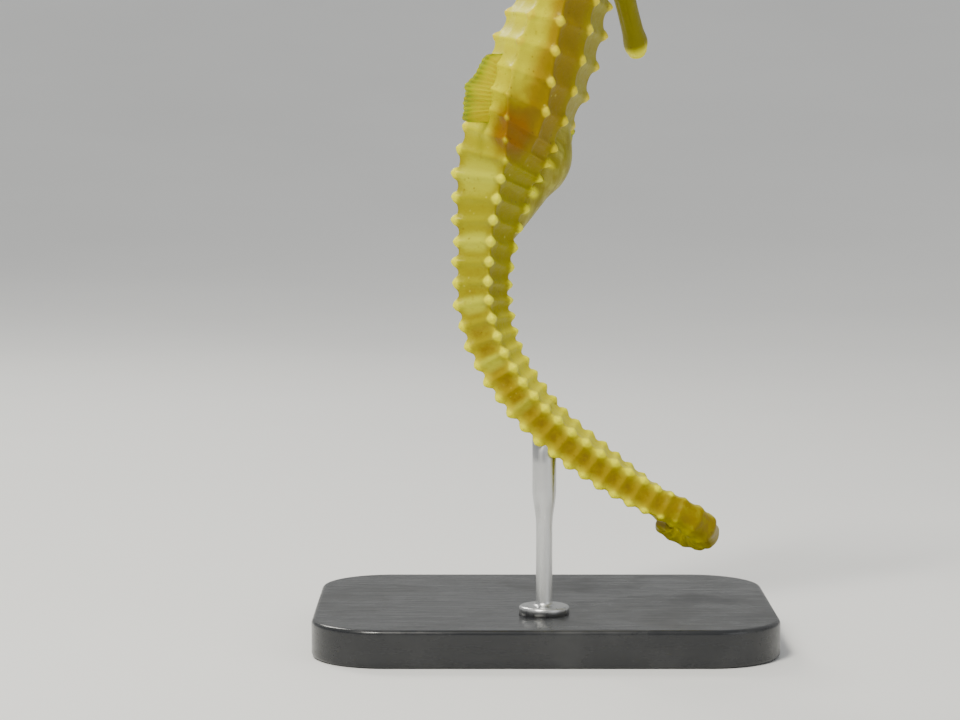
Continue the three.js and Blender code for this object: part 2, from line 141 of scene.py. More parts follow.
# smooth curve through rows of numbers: a cubic between neighbours, whose slope at a row
# is the chord across it; read at a place given by the first column
def follow(rows, place):
    rows = np.array(rows, float)
    x = rows[:, 0]
    slope = np.empty_like(rows)
    slope[1:-1] = (rows[2:] - rows[:-2]) / (x[2:] - x[:-2])[:, None]
    slope[0] = (rows[1] - rows[0]) / (x[1] - x[0])
    slope[-1] = (rows[-1] - rows[-2]) / (x[-1] - x[-2])
    place = np.asarray(place, float)
    k = np.clip(np.searchsorted(x, place, side="right") - 1, 0, len(x) - 2)
    span = x[k + 1] - x[k]
    t = np.clip((place - x[k]) / span, 0, 1)[..., None]
    span = span[..., None]
    keep = 2 * t ** 3 - 3 * t ** 2 + 1
    return (keep * rows[k] + (1 - keep) * rows[k + 1]
            + (t ** 3 - 2 * t ** 2 + t) * span * slope[k] + (t ** 3 - t ** 2) * span * slope[k + 1])


# mesh from a grid of points, closed around; a pole closes its start, and its end if it has one
def gridMesh(name, points, *poles):
    rows, columns = points.shape[:2]
    here = np.arange(rows * columns).reshape(rows, columns)
    beside = np.roll(here, -1, axis=1)
    faces = np.stack([here[:-1], beside[:-1], beside[1:], here[1:]], axis=-1).reshape(-1, 4).tolist()
    for k, (a, b) in enumerate([(beside[0], here[0]), (here[-1], beside[-1])][:len(poles)]):
        faces += np.stack([np.full(columns, rows * columns + k), a, b], axis=-1).tolist()
    vertices = np.concatenate([points.reshape(-1, 3), np.array(poles, float)]) * mm
    mesh = bpy.data.meshes.new(name)
    mesh.from_pydata(vertices.tolist(), [], faces)
    mesh.validate()
    faceOutwards(mesh)
    mesh.shade_smooth()
    piece = bpy.data.objects.new(name, mesh)
    scene.collection.objects.link(piece)
    return piece


def readArray(items, key, width, kind=float):
    flat = np.empty(len(items) * width, kind)
    items.foreach_get(key, flat)
    return flat.reshape(-1, width)


# a closed mesh whose signed volume is negative is inside out
def faceOutwards(mesh):
    mesh.calc_loop_triangles()
    corners = readArray(mesh.loop_triangles, "vertices", 3, int)
    a, b, c = np.moveaxis(readArray(mesh.vertices, "co", 3)[corners], 1, 0)
    if np.sum(a * np.cross(b, c)) < 0:
        mesh.flip_normals()


# one number for each vertex, under the name of each field
def setFields(mesh, **fields):
    for name, values in fields.items():
        layer = mesh.attributes.new(name, "FLOAT", "POINT")
        layer.data.foreach_set("value", np.ascontiguousarray(values, np.float32))


# Places along the body are counted in bony rings: 1 to 11 trunk, 12 to 46 tail, and below
# 2.5 the neck up into the head. Lengths are in millimetres here.
axisShape = {
    # ring, x, y, z, roll of the back towards the front in degrees
    "spine": [
        [2.5, 3.9, -4.2, 121.3, 46], [5, 3.6, -4.4, 111.9, 34], [7, 2.3, -4.6, 104.1, 28],
        [9, 0.2, -4.9, 95.2, 30], [11, -2.8, -5.2, 86.5, 38], [13, -6.1, -5.6, 80.2, 46],
        [15, -8.2, -6.4, 74.3, 53], [18, -9.5, -8.2, 64.5, 54], [21, -9.8, -9.8, 55.4, 57],
        [24, -7.4, -10.9, 47.1, 62], [28, -1.1, -11.6, 38.0, 71], [32, 7.6, -11.9, 30.6, 77],
        [36, 16.6, -11.8, 24.5, 92], [38, 21.0, -11.6, 22.2, 110],
    ],
    "trunkRing": 4.3, "tailRing": 3.7, "tailShrink": 0.043,     # ring lengths, shrinking from ring 11
    "neckEnd": 2.5, "neckRings": 4.6, "neckBend": (4.3, -3.2, 129.0), "neckAlong": 34,
    "coilStart": 38, "coilEnd": 46.9, "coilTurn": 318, "coilTighten": 1.3, "coilSideways": 1.9,
    "mouth": (15.95, 17.4, 95.3), "headYaw": 65.8, "headPitch": 55,
}
neckEnd, coilStart, coilEnd = axisShape["neckEnd"], axisShape["coilStart"], axisShape["coilEnd"]
neckStart = neckEnd - axisShape["neckRings"]


# 0 at the neck's end on the trunk, 1 at its start in the head
def neckPart(ring):
    return np.clip((neckEnd - ring) / (neckEnd - neckStart), 0, 1)


# a trunk ring is equally long everywhere, and the tail's rings shrink
def ringLength(ring):
    tail = axisShape["tailRing"] - axisShape["tailShrink"] * (ring - 11)
    return np.where(ring < 12, axisShape["trunkRing"], tail)


yaw, pitch = math.radians(axisShape["headYaw"]), math.radians(axisShape["headPitch"])
mouthPoint = np.array(axisShape["mouth"])
snoutward = np.array([math.cos(yaw) * math.cos(pitch), math.sin(yaw) * math.cos(pitch), -math.sin(pitch)])
crown = np.array([math.cos(yaw) * math.sin(pitch), math.sin(yaw) * math.sin(pitch), math.cos(pitch)])
headSide = np.cross(crown, -snoutward)


# centre, tail-ward direction, back and right side; the back is turned by roll from the
# left of the view towards the viewer
def openFrames(ring):
    spine = axisShape["spine"]
    low = follow(spine, np.maximum(ring - 0.05, spine[0][0]))[:, 1:4]
    high = follow(spine, np.minimum(ring + 0.05, coilStart))[:, 1:4]
    rows = follow(spine, ring)
    along = unit(high - low)
    roll = np.radians(rows[:, 4:5])
    away = np.broadcast_to([0.0, 1.0, 0.0], along.shape)
    left = unit(np.cross(away, along))
    near = -unit(away - dots(away, along) * along)
    back = left * np.cos(roll) + near * np.sin(roll)
    up = unit(back - dots(back, along) * along)
    return rows[:, 1:4], along, up, np.cross(up, along)


# the curl: its heading turns towards the belly with a power of the way along it
def coilFrames(ring):
    step = 0.1
    centre, along, up, side = (part[0] for part in openFrames(np.array([coilStart], float)))
    places = np.arange(coilStart, coilEnd + 2 * step, step)
    part = (places - coilStart) / (coilEnd - coilStart)
    heading = np.radians(axisShape["coilTurn"]) * part ** axisShape["coilTighten"]
    moves = (np.cos(heading)[:, None] * along - np.sin(heading)[:, None] * up)
    moves *= (ringLength(places) * step)[:, None]
    path = centre + np.concatenate([np.zeros((1, 3)), np.cumsum(moves, axis=0)[:-1]])
    path -= side * (axisShape["coilSideways"] * part ** 2)[:, None]
    heading = np.interp(ring, places, heading)[:, None]
    centres = np.stack([np.interp(ring, places, path[:, c]) for c in range(3)], axis=-1)
    turned = np.cos(heading) * along - np.sin(heading) * up
    risen = np.cos(heading) * up + np.sin(heading) * along
    return centres, turned, risen, np.broadcast_to(side, turned.shape)


# a place on the head by its way back from the mouth, height and side
def headPlace(along, up=0, side=0):
    return mouthPoint - snoutward * along + crown * up + headSide * side


def headFrames(distance):
    shape = (len(distance), 3)
    return (mouthPoint - snoutward * distance[:, None], np.broadcast_to(-snoutward, shape),
            np.broadcast_to(crown, shape), np.broadcast_to(headSide, shape))


# the neck: its middle follows a quadratic curve and its frame turns evenly about one axis
def neckFrames(t):
    low = [part[0] for part in openFrames(np.array([neckEnd], float))]
    high = [part[0] for part in headFrames(np.array([axisShape["neckAlong"]], float))]
    t = t[:, None]
    centre = low[0] * (1 - t) ** 2 + np.array(axisShape["neckBend"]) * 2 * t * (1 - t) + high[0] * t ** 2
    lowTurn = Matrix([low[3], low[2], low[1]]).transposed()
    highTurn = Matrix([high[3], high[2], high[1]]).transposed()
    axis, angle = (highTurn @ lowTurn.inverted()).to_quaternion().to_axis_angle()
    axis = np.array(axis)

    def turned(v):
        a = t * angle
        return v * np.cos(a) + np.cross(axis, v) * np.sin(a) + axis * np.dot(axis, v) * (1 - np.cos(a))
    return centre, turned(low[1]), turned(low[2]), turned(low[3])


def bodyFrames(ring):
    neck = neckFrames(neckPart(ring))
    trunk = openFrames(np.clip(ring, neckEnd, coilStart))
    curl = coilFrames(np.maximum(ring, coilStart))
    isNeck, isCurl = (ring < neckEnd)[:, None], (ring > coilStart)[:, None]
    return tuple(np.where(isNeck, n, np.where(isCurl, c, o)) for n, o, c in zip(neck, trunk, curl))


bodyShape = {
    # ring, superior, lateral and inferior ridges as side and height, keel, middle of the back
    "trunk": [
        [2.5, 2.7, 4.5, 4.6, 0.8, 3.1, -3.6, -5.2, 5.0], [4, 3.1, 4.9, 5.1, 1.2, 3.5, -4.2, -7.2, 5.4],
        [7, 3.5, 5.3, 5.6, 2.0, 3.7, -4.2, -9.0, 5.8], [9, 3.7, 7.2, 5.6, 1.8, 3.9, -4.2, -9.4, 7.8],
        [11, 3.9, 7.6, 5.3, 0.5, 4.2, -4.2, -9.9, 8.1], [12, 4.1, 6.6, 5.3, 0.2, 4.5, -4.6, -8.0, 6.9],
        [13, 4.5, 5.6, 5.0, 0, 4.7, -4.8, -6.5, 5.7],
    ],
    # ring and half the width between neighbouring ridges
    "tail": [[14, 4.7], [15, 4.2], [16, 3.85], [17, 3.4], [18, 3.1], [21, 2.8], [26, 2.5], [32, 2.35],
             [38, 2.05], [43, 1.4], [46.5, 0.75]],
    "ringWaist": 0.035,
    # ring, heights of the tubercles on the superior, lateral, inferior and ventral ridges
    "tubercles": [
        [-1, 0, 0, 0, 0], [0.6, 0.35, 0.25, 0, 0], [2.5, 0.7, 0.5, 0.5, 0.8], [7, 0.85, 0.6, 0.6, 1.1],
        [9.5, 0.55, 0.6, 0.65, 1.1], [11, 0.4, 0.55, 0.7, 1.0], [12, 0.4, 0.1, 0.8, 0],
        [13, 0.55, 0, 0.85, 0], [14, 0.8, 0, 0.85, 0], [15, 0.95, 0, 0.85, 0], [21, 0.9, 0, 0.75, 0],
        [32, 0.65, 0, 0.5, 0], [35, 0.52, 0, 0.4, 0], [37, 0.26, 0, 0.22, 0], [39, 0.1, 0, 0.08, 0],
        [46.9, 0.04, 0, 0.04, 0],
    ],
    # radius on the trunk and on the tail, how much of a ball they are there
    "tubercleSize": (0.82, 1.0), "tubercleBall": (0.4, 0.62), "tuberclePower": 2.2,
    "tubercleUneven": 0.14, "tubercleLeast": 0.42, "tailFrom": (12, 15),
    "ribHeight": 0.3, "ribWidth": 0.55, "ridgeRound": 0.5, "ridgeHeight": 0.24, "ridgeWidth": 0.5,
    "trunkLineEnd": (12.5, 14), "fullReach": 4,     # lines and ribs are lower on a thinner body
    # neck: height above, depth below and half width where it enters the head
    "neck": (4.8, 2.9, 4.4), "neckRound": 0.5, "neckRib": 0.7, "neckFlare": 1.1, "flareFrom": (-0.2, -1.5),
    # pouch: ring, drop of its middle below the spine, half width, half depth
    "pouch": [
        [10.7, 5.6, 1.6, 1.8], [11.5, 7.4, 3.4, 3.6], [12.2, 8.0, 4.9, 4.8], [13.4, 8.3, 5.3, 4.9],
        [14.5, 7.6, 4.9, 4.6], [15.5, 6.5, 4.4, 4.1], [16.6, 5.1, 3.3, 3.1], [17.9, 3.6, 1.4, 1.4],
        [18.8, 2.3, 0.6, 0.6],
    ],
    "pouchBlend": 0.9, "pouchHides": 1.2,
    # curl: how round and how much fuller it is, each with the rings where that begins and ends
    "curlRound": 0.9, "roundFrom": (35, 38.5), "curlRib": 0.4,
    "curlFuller": 0.16, "fullFrom": (38, 40), "fullTo": (43, 46),
}
sectionRows = bodyShape["trunk"] + [[r, h, h, h, 0, h, -h, -h, h] for r, h in bodyShape["tail"]]


# angle and reach of the ridges, from the middle of the back round to the keel
def ridgeKnots(ring):
    row = follow(sectionRows, ring)
    zero = np.zeros(len(ring))
    sides = np.stack([zero, row[:, 1], row[:, 3], row[:, 5], zero], axis=-1)
    ups = np.stack([row[:, 8], row[:, 2], row[:, 4], row[:, 6], row[:, 7]], axis=-1)
    return np.arctan2(sides, ups), np.hypot(sides, ups)


# straight line between two ridges in polar form
def chordReach(angles, reaches, turn):
    out = np.zeros_like(turn)
    for k in range(4):
        a0, a1 = angles[:, k:k + 1], angles[:, k + 1:k + 2]
        r0, r1 = reaches[:, k:k + 1], reaches[:, k + 1:k + 2]
        chord = r0 * r1 * np.sin(a1 - a0) / (r0 * np.sin(turn - a0) + r1 * np.sin(a1 - turn) + 1e-9)
        out = np.where((turn >= a0 - 1e-9) & (turn <= a1 + 1e-9), chord, out)
    return out


# chords whose corners are rounded by averaging over a little of the angle
def sectionReach(ring, turn):
    angles, reaches = ridgeKnots(ring)
    spread = bodyShape["ridgeRound"] / reaches.mean(axis=1, keepdims=True)
    total = np.zeros_like(turn)
    weights = {-2: 1, -1: 4, 0: 6, 1: 4, 2: 1}
    for step, weight in weights.items():
        shifted = np.abs(turn + step * spread / 2)
        shifted = np.where(shifted > np.pi, 2 * np.pi - shifted, shifted)
        total += weight * chordReach(angles, reaches, shifted)
    return total / sum(weights.values())


# far side of the pouch's ellipse along a ray from the spine
def pouchReach(ring, turn):
    rows = follow(bodyShape["pouch"], ring)
    drop, wide, deep = rows[:, 1:2], rows[:, 2:3], rows[:, 3:4]
    a = (np.sin(turn) / wide) ** 2 + (np.cos(turn) / deep) ** 2
    b = 2 * drop * np.cos(turn) / deep ** 2
    c = (drop / deep) ** 2 - 1
    root = b * b - 4 * a * c
    reach = (-b + np.sign(root) * np.sqrt(np.abs(root))) / (2 * a)
    inside = (ring > bodyShape["pouch"][0][0]) & (ring < bodyShape["pouch"][-1][0])
    return np.where(inside[:, None] & (np.cos(turn) < 0), reach, 0)


# way along to the middle of the nearest ring
def offRing(ring):
    return ((ring - np.round(ring)) * ringLength(ring))[:, None]


# beads on each ridge at the ring's middle: between a half ball and a cone with a soft foot
def tubercleReach(ring, turn):
    angles, reaches = ridgeKnots(ring)
    heights = np.maximum(follow(bodyShape["tubercles"], ring)[:, 1:], 0)
    along, total, shape = offRing(ring), np.zeros_like(turn), bodyShape
    for k in range(1, 5):
        high = heights[:, k - 1:k]
        uneven = 1 + shape["tubercleUneven"] * np.sin(np.round(ring) * (2.1 + k) + 5 * k)[:, None]
        onTail = smoothStep(*shape["tailFrom"], ring)[:, None]
        size = mix(*shape["tubercleSize"], onTail)
        size = size * np.minimum(1, shape["tubercleLeast"] + high)
        away = np.hypot((turn - angles[:, k:k + 1]) * reaches[:, k:k + 1], along) / size
        ball = np.sqrt(np.clip(1 - away ** 2, 0, 1))
        cone = np.exp(-away ** shape["tuberclePower"])
        total += high * uneven * mix(cone, ball, mix(*shape["tubercleBall"], onTail))
    return total


def bodyReach(ring, turn):
    shape = bodyShape
    waist = 1 - shape["ringWaist"] / 2 * (1 - np.cos(2 * np.pi * ring))[:, None]
    square = sectionReach(ring, turn)
    angles, reaches = ridgeKnots(ring)
    # a low rib crosses the faces at each ring, and a sharper line runs along each ridge;
    # the lateral ridges and the keel end with the trunk
    rib = shape["ribHeight"] * bell(offRing(ring), shape["ribWidth"])
    line = np.zeros_like(turn)
    for k in range(1, 5):
        across = (turn - angles[:, k:k + 1]) * reaches[:, k:k + 1]
        high = shape["ridgeHeight"] * (1 - smoothStep(*shape["trunkLineEnd"], ring) * (k % 2 == 0))[:, None]
        line = np.maximum(line, high * bell(across, shape["ridgeWidth"]))
    thin = np.minimum(1, reaches[:, 1:2] / shape["fullReach"])
    square = square * waist + np.maximum(rib, line) * thin
    # the curl is round and a little fuller
    even = 0.5 * (square.max(axis=1, keepdims=True) + square.min(axis=1, keepdims=True))
    full = plateau(shape["fullFrom"], shape["fullTo"], ring)
    tube = even * (1 + shape["curlFuller"] * full)[:, None] + rib * thin * shape["curlRib"]
    square = mix(square, tube, shape["curlRound"] * smoothStep(*shape["roundFrom"], ring)[:, None])
    # neck: the section becomes rounder towards the head
    t = neckPart(ring)[:, None]
    above, below, wide = shape["neck"]
    tall = np.where(np.cos(turn) < 0, below, above)
    oval = 1 / np.hypot(np.cos(turn) / tall, np.sin(turn) / wide)
    bare = mix(square, oval + rib * shape["neckRib"], smoothStep(0, shape["neckRound"], t))
    pouch = pouchReach(ring, turn)
    hidden = smoothStep(0, shape["pouchHides"], pouch - bare)
    return smoothMax(bare, pouch, shape["pouchBlend"]) + tubercleReach(ring, turn) * (1 - hidden)


bodyGrid = {
    "perFace": (12, 13, 12, 13), "faceBend": 0.6,      # columns on each face of one side
    "trunkEnd": 11.5, "perRing": (18, 18, 13), "ringBend": 0.45,
    # the tip's half ball: steps in degrees, its length as part of its radius, its last step
    "cap": (25, 48, 68, 82), "capLong": 0.8, "capTip": 0.06,
}


# columns are closer at the ridges: the way between two of them is bent by a sine
def bodyTurns(ring):
    angles, _ = ridgeKnots(ring)
    half = []
    for k, count in enumerate(bodyGrid["perFace"]):
        u = np.arange(count) / count
        u = u - bodyGrid["faceBend"] * np.sin(2 * np.pi * u) / (2 * np.pi)
        half.append(angles[:, k:k + 1] + (angles[:, k + 1:k + 2] - angles[:, k:k + 1]) * u)
    half = np.concatenate(half + [np.full((len(ring), 1), np.pi)], axis=1)
    return np.concatenate([half, -half[:, -2:0:-1]], axis=1)


# rows are closer at each ring's middle, by a sine as well
def makeBody():
    stops = [neckStart, neckEnd, bodyGrid["trunkEnd"], coilEnd]
    parts = []
    for low, high, perRing in zip(stops, stops[1:], bodyGrid["perRing"]):
        u = np.linspace(low, high, round((high - low) * perRing), endpoint=False)
        parts.append(u - bodyGrid["ringBend"] * np.sin(2 * np.pi * u) / (2 * np.pi))
    ring = np.sort(np.clip(np.concatenate(parts + [[coilEnd]]), neckStart, coilEnd))
    turn = bodyTurns(np.clip(ring, neckEnd, None))
    reach = bodyReach(ring, np.abs(turn))
    centre, along, up, side = bodyFrames(ring)
    flare = bodyShape["neckFlare"] * smoothStep(*bodyShape["flareFrom"], ring)[:, None]
    reach = reach + flare * (ring < neckEnd)[:, None]
    # the tip is rounded off as a half ball
    cap = np.radians(bodyGrid["cap"])
    long = bodyGrid["capLong"] * reach[-1].mean()
    tipCentre = centre[-1] + along[-1] * (long * np.sin(cap))[:, None]
    centre = np.concatenate([centre, tipCentre])
    reach = np.concatenate([reach, reach[-1:] * np.cos(cap)[:, None]])
    up, side, turn = (np.concatenate([rows, np.repeat(rows[-1:], len(cap), axis=0)])
                      for rows in (up, side, turn))
    points = ringPoints(centre, up, side, reach, turn)
    tip = tipCentre[-1] + along[-1] * bodyGrid["capTip"]
    return gridMesh("bodySkin", points, points[0].mean(axis=0), tip)


headShape = {
    # distance from the mouth, half height above and below the axis, half width
    "rows": [
        [0, 1.55, 1.35, 1.35], [1.7, 2.25, 1.95, 1.95], [4.5, 1.85, 1.8, 1.75], [10, 1.8, 1.85, 1.7],
        [14.5, 2.1, 2.3, 2.0], [17.5, 3.0, 3.2, 2.7], [20, 4.6, 4.4, 3.6], [23, 6.0, 5.4, 4.4],
        [27, 6.9, 6.8, 5.0], [31, 7.6, 7.6, 5.5], [34.5, 7.2, 6.9, 5.4], [37.5, 5.6, 5.2, 4.7],
        [40, 2.6, 2.6, 2.6],
    ],
    "power": 2.2,
    # spines: distance, angle from the crown, height, half width
    "spines": [[24.6, 52, 1.7, 1.05], [26.4, 128, 1.3, 0.85], [19.2, 0, 0.7, 0.9], [29.5, 0, 0.8, 1.2],
               [32.5, 118, 1.0, 1.1]],
    "spinePower": 1.5,
    "eye": (22.6, 1.2, 2.75), "eyeRadius": 2.4,
    # orbit: swelling and rim with height, radius and width, a hollow of a depth between two
    # radii, and folds of a height, spacing, radius and width
    "orbit": [(0.45, 0, 3.4), (0.72, 2.42, 0.3)], "hollow": (1.9, 1.45, 2.15),
    "folds": (0.06, 0.62, 3.5, 0.6),
    # gill cover: distance, height, half length and half height; then its bulge and the power of
    # its slope; how many ribs fan out of which height, and their height; depth, place and width
    # of the crease behind it
    "cover": (30.4, -1.0, 4.9, 5.1), "coverBulge": (0.85, 0.6), "coverRibs": (26, 1.2, 0.085),
    "ribsBegin": (0.02, 0.3), "ribsFade": (-3.5, -0.5),
    "crease": (0.5, 1.07, 0.085), "creaseFrom": (-1.5, 1.5),
    # gill opening and nostril: distance, height, size; height, place and width of a pit's rim,
    # depth and width of its hollow, as parts of the size
    "pits": [(33.9, 4.4, 0.75), (18.9, 1.9, 0.26)], "pitRim": (0.55, 1.25, 0.5), "pitHollow": (0.9, 0.7746),
    # lines along the snout: angle from the crown, height, width, where they rise and where they fall
    "lines": [(0, 0.12, 0.5, (3, 6), (18, 22)), (100, -0.2, 0.16, (-1, 0), (1.2, 2.6)),
              (158, -0.1, 0.2, (4, 8), (22, 26))],
}


def eyeDistance(distance, up):
    along, height, _ = headShape["eye"]
    return np.hypot(distance - along, up - height)


# how far a place is from the middle of the gill cover, where its edge is at 1
def coverPlace(distance, up):
    place, height, long, tall = headShape["cover"]
    return np.hypot((distance - place) / long, (up - height) / tall), distance - place


# superellipse of the plain head
def headOval(distance, turn):
    row, power = follow(headShape["rows"], distance), headShape["power"]
    tall = np.where(np.cos(turn) > 0, row[:, 1:2], row[:, 2:3])
    spread = np.abs(np.cos(turn) / tall) ** power + np.abs(np.sin(turn) / row[:, 3:4]) ** power
    return spread ** (-1 / power)


# the plain head with spines, orbit, gill cover, pits and lines
def headReach(distance, turn):
    shape, base = headShape, headOval(distance, turn)
    reach = base.copy()
    d, up = distance[:, None], base * np.cos(turn)
    for place, angle, height, size in shape["spines"]:
        across = (np.abs(turn) - math.radians(angle)) * base
        reach += height * np.exp(-(np.hypot(across, d - place) / size) ** shape["spinePower"])
    away = eyeDistance(d, up)
    for height, radius, width in shape["orbit"]:
        reach += height * bell(away - radius, width)
    depth, low, high = shape["hollow"]
    reach -= depth * (1 - smoothStep(low, high, away))
    height, spacing, radius, width = shape["folds"]
    reach += height * np.cos((away - shape["eyeRadius"]) * 2 * np.pi / spacing) * bell(away - radius, width)
    # gill cover: a dome with fine ribs that fan out from its front, and a crease behind it
    edge, beyond = coverPlace(d, up)
    dome = np.clip(1 - edge ** 2, 0, 1)
    count, rise, height = shape["coverRibs"]
    fan = np.arctan2(up - shape["cover"][1] - rise, beyond + shape["cover"][2] * 0.9)
    bulge, slope = shape["coverBulge"]
    reach += bulge * dome ** slope
    reach += (height * np.cos(count * fan) * smoothStep(*shape["ribsBegin"], dome)
              * smoothStep(*shape["ribsFade"], beyond))
    depth, place, width = shape["crease"]
    reach -= depth * smoothStep(*shape["creaseFrom"], beyond) * bell(edge - place, width)
    # pits: a hollow with a low rim round it
    rim, place, width = shape["pitRim"]
    depth, hollow = shape["pitHollow"]
    for along, height, size in shape["pits"]:
        near = np.hypot(d - along, up - height) / size
        reach += size * (rim * bell(near - place, width) - depth * bell(near, hollow))
    for angle, height, width, rise, fall in shape["lines"]:
        across = (np.abs(turn) - math.radians(angle)) * base
        reach += height * bell(across, width) * plateau(rise, fall, d)
    return reach


def headPoints(distance, turn, reach):
    centre, _, up, side = headFrames(distance)
    return ringPoints(centre, up, side, reach, turn)


headGrid = {
    # steps along: distances and their spacing; columns around, drawn together by a sine
    "parts": [(0.55, 18, 0.27), (18, 27, 0.17), (27, 40, 0.27)], "columns": 120, "draw": 0.12,
    "lip": 0.42, "lipDrop": (0.42, 0.4), "lipSteps": 9, "lipEnd": 170,
    "inner": [(2.2, 1.15), (1.6, 1.0), (1.1, 0.86), (0.7, 0.82)],     # mouth: way in, drop from the rim
    "innerRound": (1.05, 0.95, 0.1), "innerLeast": 0.12,
    "innerEnd": 2.4, "rear": 40.4, "slant": 0.2, "slantOver": (3.4, 0.6),
}


def makeHead():
    shape = headGrid
    distance = np.concatenate([np.arange(*part) for part in shape["parts"]])
    u = np.arange(shape["columns"]) / shape["columns"]
    turn = (u * 2 * np.pi + shape["draw"] * np.sin(4 * np.pi * u)) - np.pi
    turn = np.broadcast_to(turn, (len(distance), len(turn)))
    first = turn[:1]
    rim = headReach(distance[:1], first)
    # mouth and lips: the skin comes out of a short open mouth and turns over a rounded edge
    rows = []
    tall, wide, more = shape["innerRound"]
    for back, drop in shape["inner"]:
        drop = drop * np.where(np.abs(np.cos(first)) > 0.5, tall, wide) + more
        rows.append(headPoints(np.array([back]), first, np.maximum(rim - drop, shape["innerLeast"])))
    lip = np.radians(np.linspace(0, shape["lipEnd"], shape["lipSteps"]))
    lipBack = shape["lip"] * (1 - np.sin(lip))
    lipDrop = shape["lipDrop"][0] + shape["lipDrop"][1] * np.cos(lip)
    for back, drop in zip(lipBack.tolist(), lipDrop.tolist()):
        rows.append(headPoints(np.array([back]), first, rim - drop))
    points = np.concatenate(rows + [headPoints(distance, turn, headReach(distance, turn))])
    # the mouth opens a little upwards: what is higher lies further back, less so along the snout
    away = points - mouthPoint
    fade = smoothStep(*shape["slantOver"], -away @ snoutward)
    points = points - snoutward * (shape["slant"] * (away @ crown) * fade)[..., None]
    return gridMesh("headSkin", points, headPlace(shape["innerEnd"]), headPlace(shape["rear"]))


coronetShape = {
    "along": 33.2, "up": 5.4, "lean": 22, "height": 4.0, "lobes": 5, "top": 0.83, "steps": (46, 80),
    # way along the profile, part of the height, radius, depth of the lobes
    "rows": [[0, -0.25, 2.8, 0], [0.16, 0, 2.3, 0], [0.38, 0.38, 1.9, 0.06], [0.58, 0.75, 2.0, 0.16],
             [0.72, 0.96, 1.85, 0.24], [0.82, 1.0, 1.4, 0.24], [0.9, 0.92, 0.9, 0.1], [1, 0.84, 0.3, 0]],
    "lobePower": 1.1, "lobeOut": 0.5, "lobeUp": 1.3, "uneven": (0.12, 0.08),
}


def makeCoronet():
    shape = coronetShape
    along, around = shape["steps"]
    rows = follow(shape["rows"], np.linspace(0, 1, along))
    lean = math.radians(shape["lean"])
    rise = crown * math.cos(lean) - snoutward * math.sin(lean)
    front = unit(-snoutward - rise * np.dot(-snoutward, rise))
    across = np.cross(front, rise)
    foot = headPlace(shape["along"], shape["up"])
    angle = np.arange(around) / around * 2 * np.pi
    # lobes: the rim swells and rises with the cosine of the lobes, sharpened to blunt points
    wave = np.cos(shape["lobes"] * angle)
    wave = np.sign(wave) * np.abs(wave) ** shape["lobePower"]
    second, third = shape["uneven"]
    wave = wave * (1 + second * np.sin(2 * angle + 0.7) + third * np.sin(3 * angle))
    out = rows[:, 2:3] * (1 + shape["lobeOut"] * rows[:, 3:4] * wave)
    high = shape["height"] * rows[:, 1:2] + rows[:, 3:4] * wave * shape["lobeUp"]
    points = rise * high[..., None] + ringPoints(foot, front, across, out, angle)
    top = foot + rise * (shape["height"] * shape["top"])
    return gridMesh("coronetSkin", points, points[0].mean(axis=0), top)


def joinSolids(first, others):
    for other in others:
        joint = first.modifiers.new("join", "BOOLEAN")
        joint.operation = "UNION"
        joint.solver = "MANIFOLD"
        joint.object = other
    ready = first.evaluated_get(bpy.context.evaluated_depsgraph_get())
    mesh = bpy.data.meshes.new_from_object(ready)
    for piece in (first, *others):
        bpy.data.objects.remove(piece)
    return mesh


# head coordinates of points: distance from the mouth, height, side, angle from the crown
def headPlaces(points):
    away = points - mouthPoint
    distance, up, side = -away @ snoutward, away @ crown, away @ headSide
    return distance, up, side, np.arctan2(side, up)


# how far points lie outside the plain head
def headGap(distance, up, side, turn):
    beyond = np.maximum(np.maximum(-distance, distance - headShape["rows"][-1][0]), 0)
    return np.hypot(up, side) - headOval(distance, turn[:, None])[:, 0] + beyond


# each point moves towards the mean of its neighbours, as far as its weight says
def relax(points, edges, weight, rounds):
    count = np.bincount(edges.ravel(), minlength=len(points))[:, None]
    for _ in range(rounds):
        total = np.zeros_like(points)
        for c in range(3):
            total[:, c] = (np.bincount(edges[:, 0], points[edges[:, 1], c], len(points))
                           + np.bincount(edges[:, 1], points[edges[:, 0], c], len(points)))
        points = mix(points, total / count, weight[:, None])
    return points


# nearest place on the axis for each point: ring, angle from the back, height over the body
def bodyPlaces(points):
    rings = np.arange(neckStart, coilEnd, 0.06)
    centre, along, up, side = bodyFrames(rings)
    nearest = np.concatenate([
        np.argmin(((block[:, None] - centre[None]) ** 2).sum(axis=-1), axis=1)
        for block in np.array_split(points, 60)])
    away = points - centre[nearest]
    ring = rings[nearest] + dots(away, along[nearest])[:, 0] / ringLength(rings[nearest])
    turn = np.arctan2(dots(away, side[nearest])[:, 0], dots(away, up[nearest])[:, 0])
    reach = bodyReach(rings[nearest], np.abs(turn)[:, None])[:, 0]
    return ring, turn, np.linalg.norm(away, axis=1) - reach


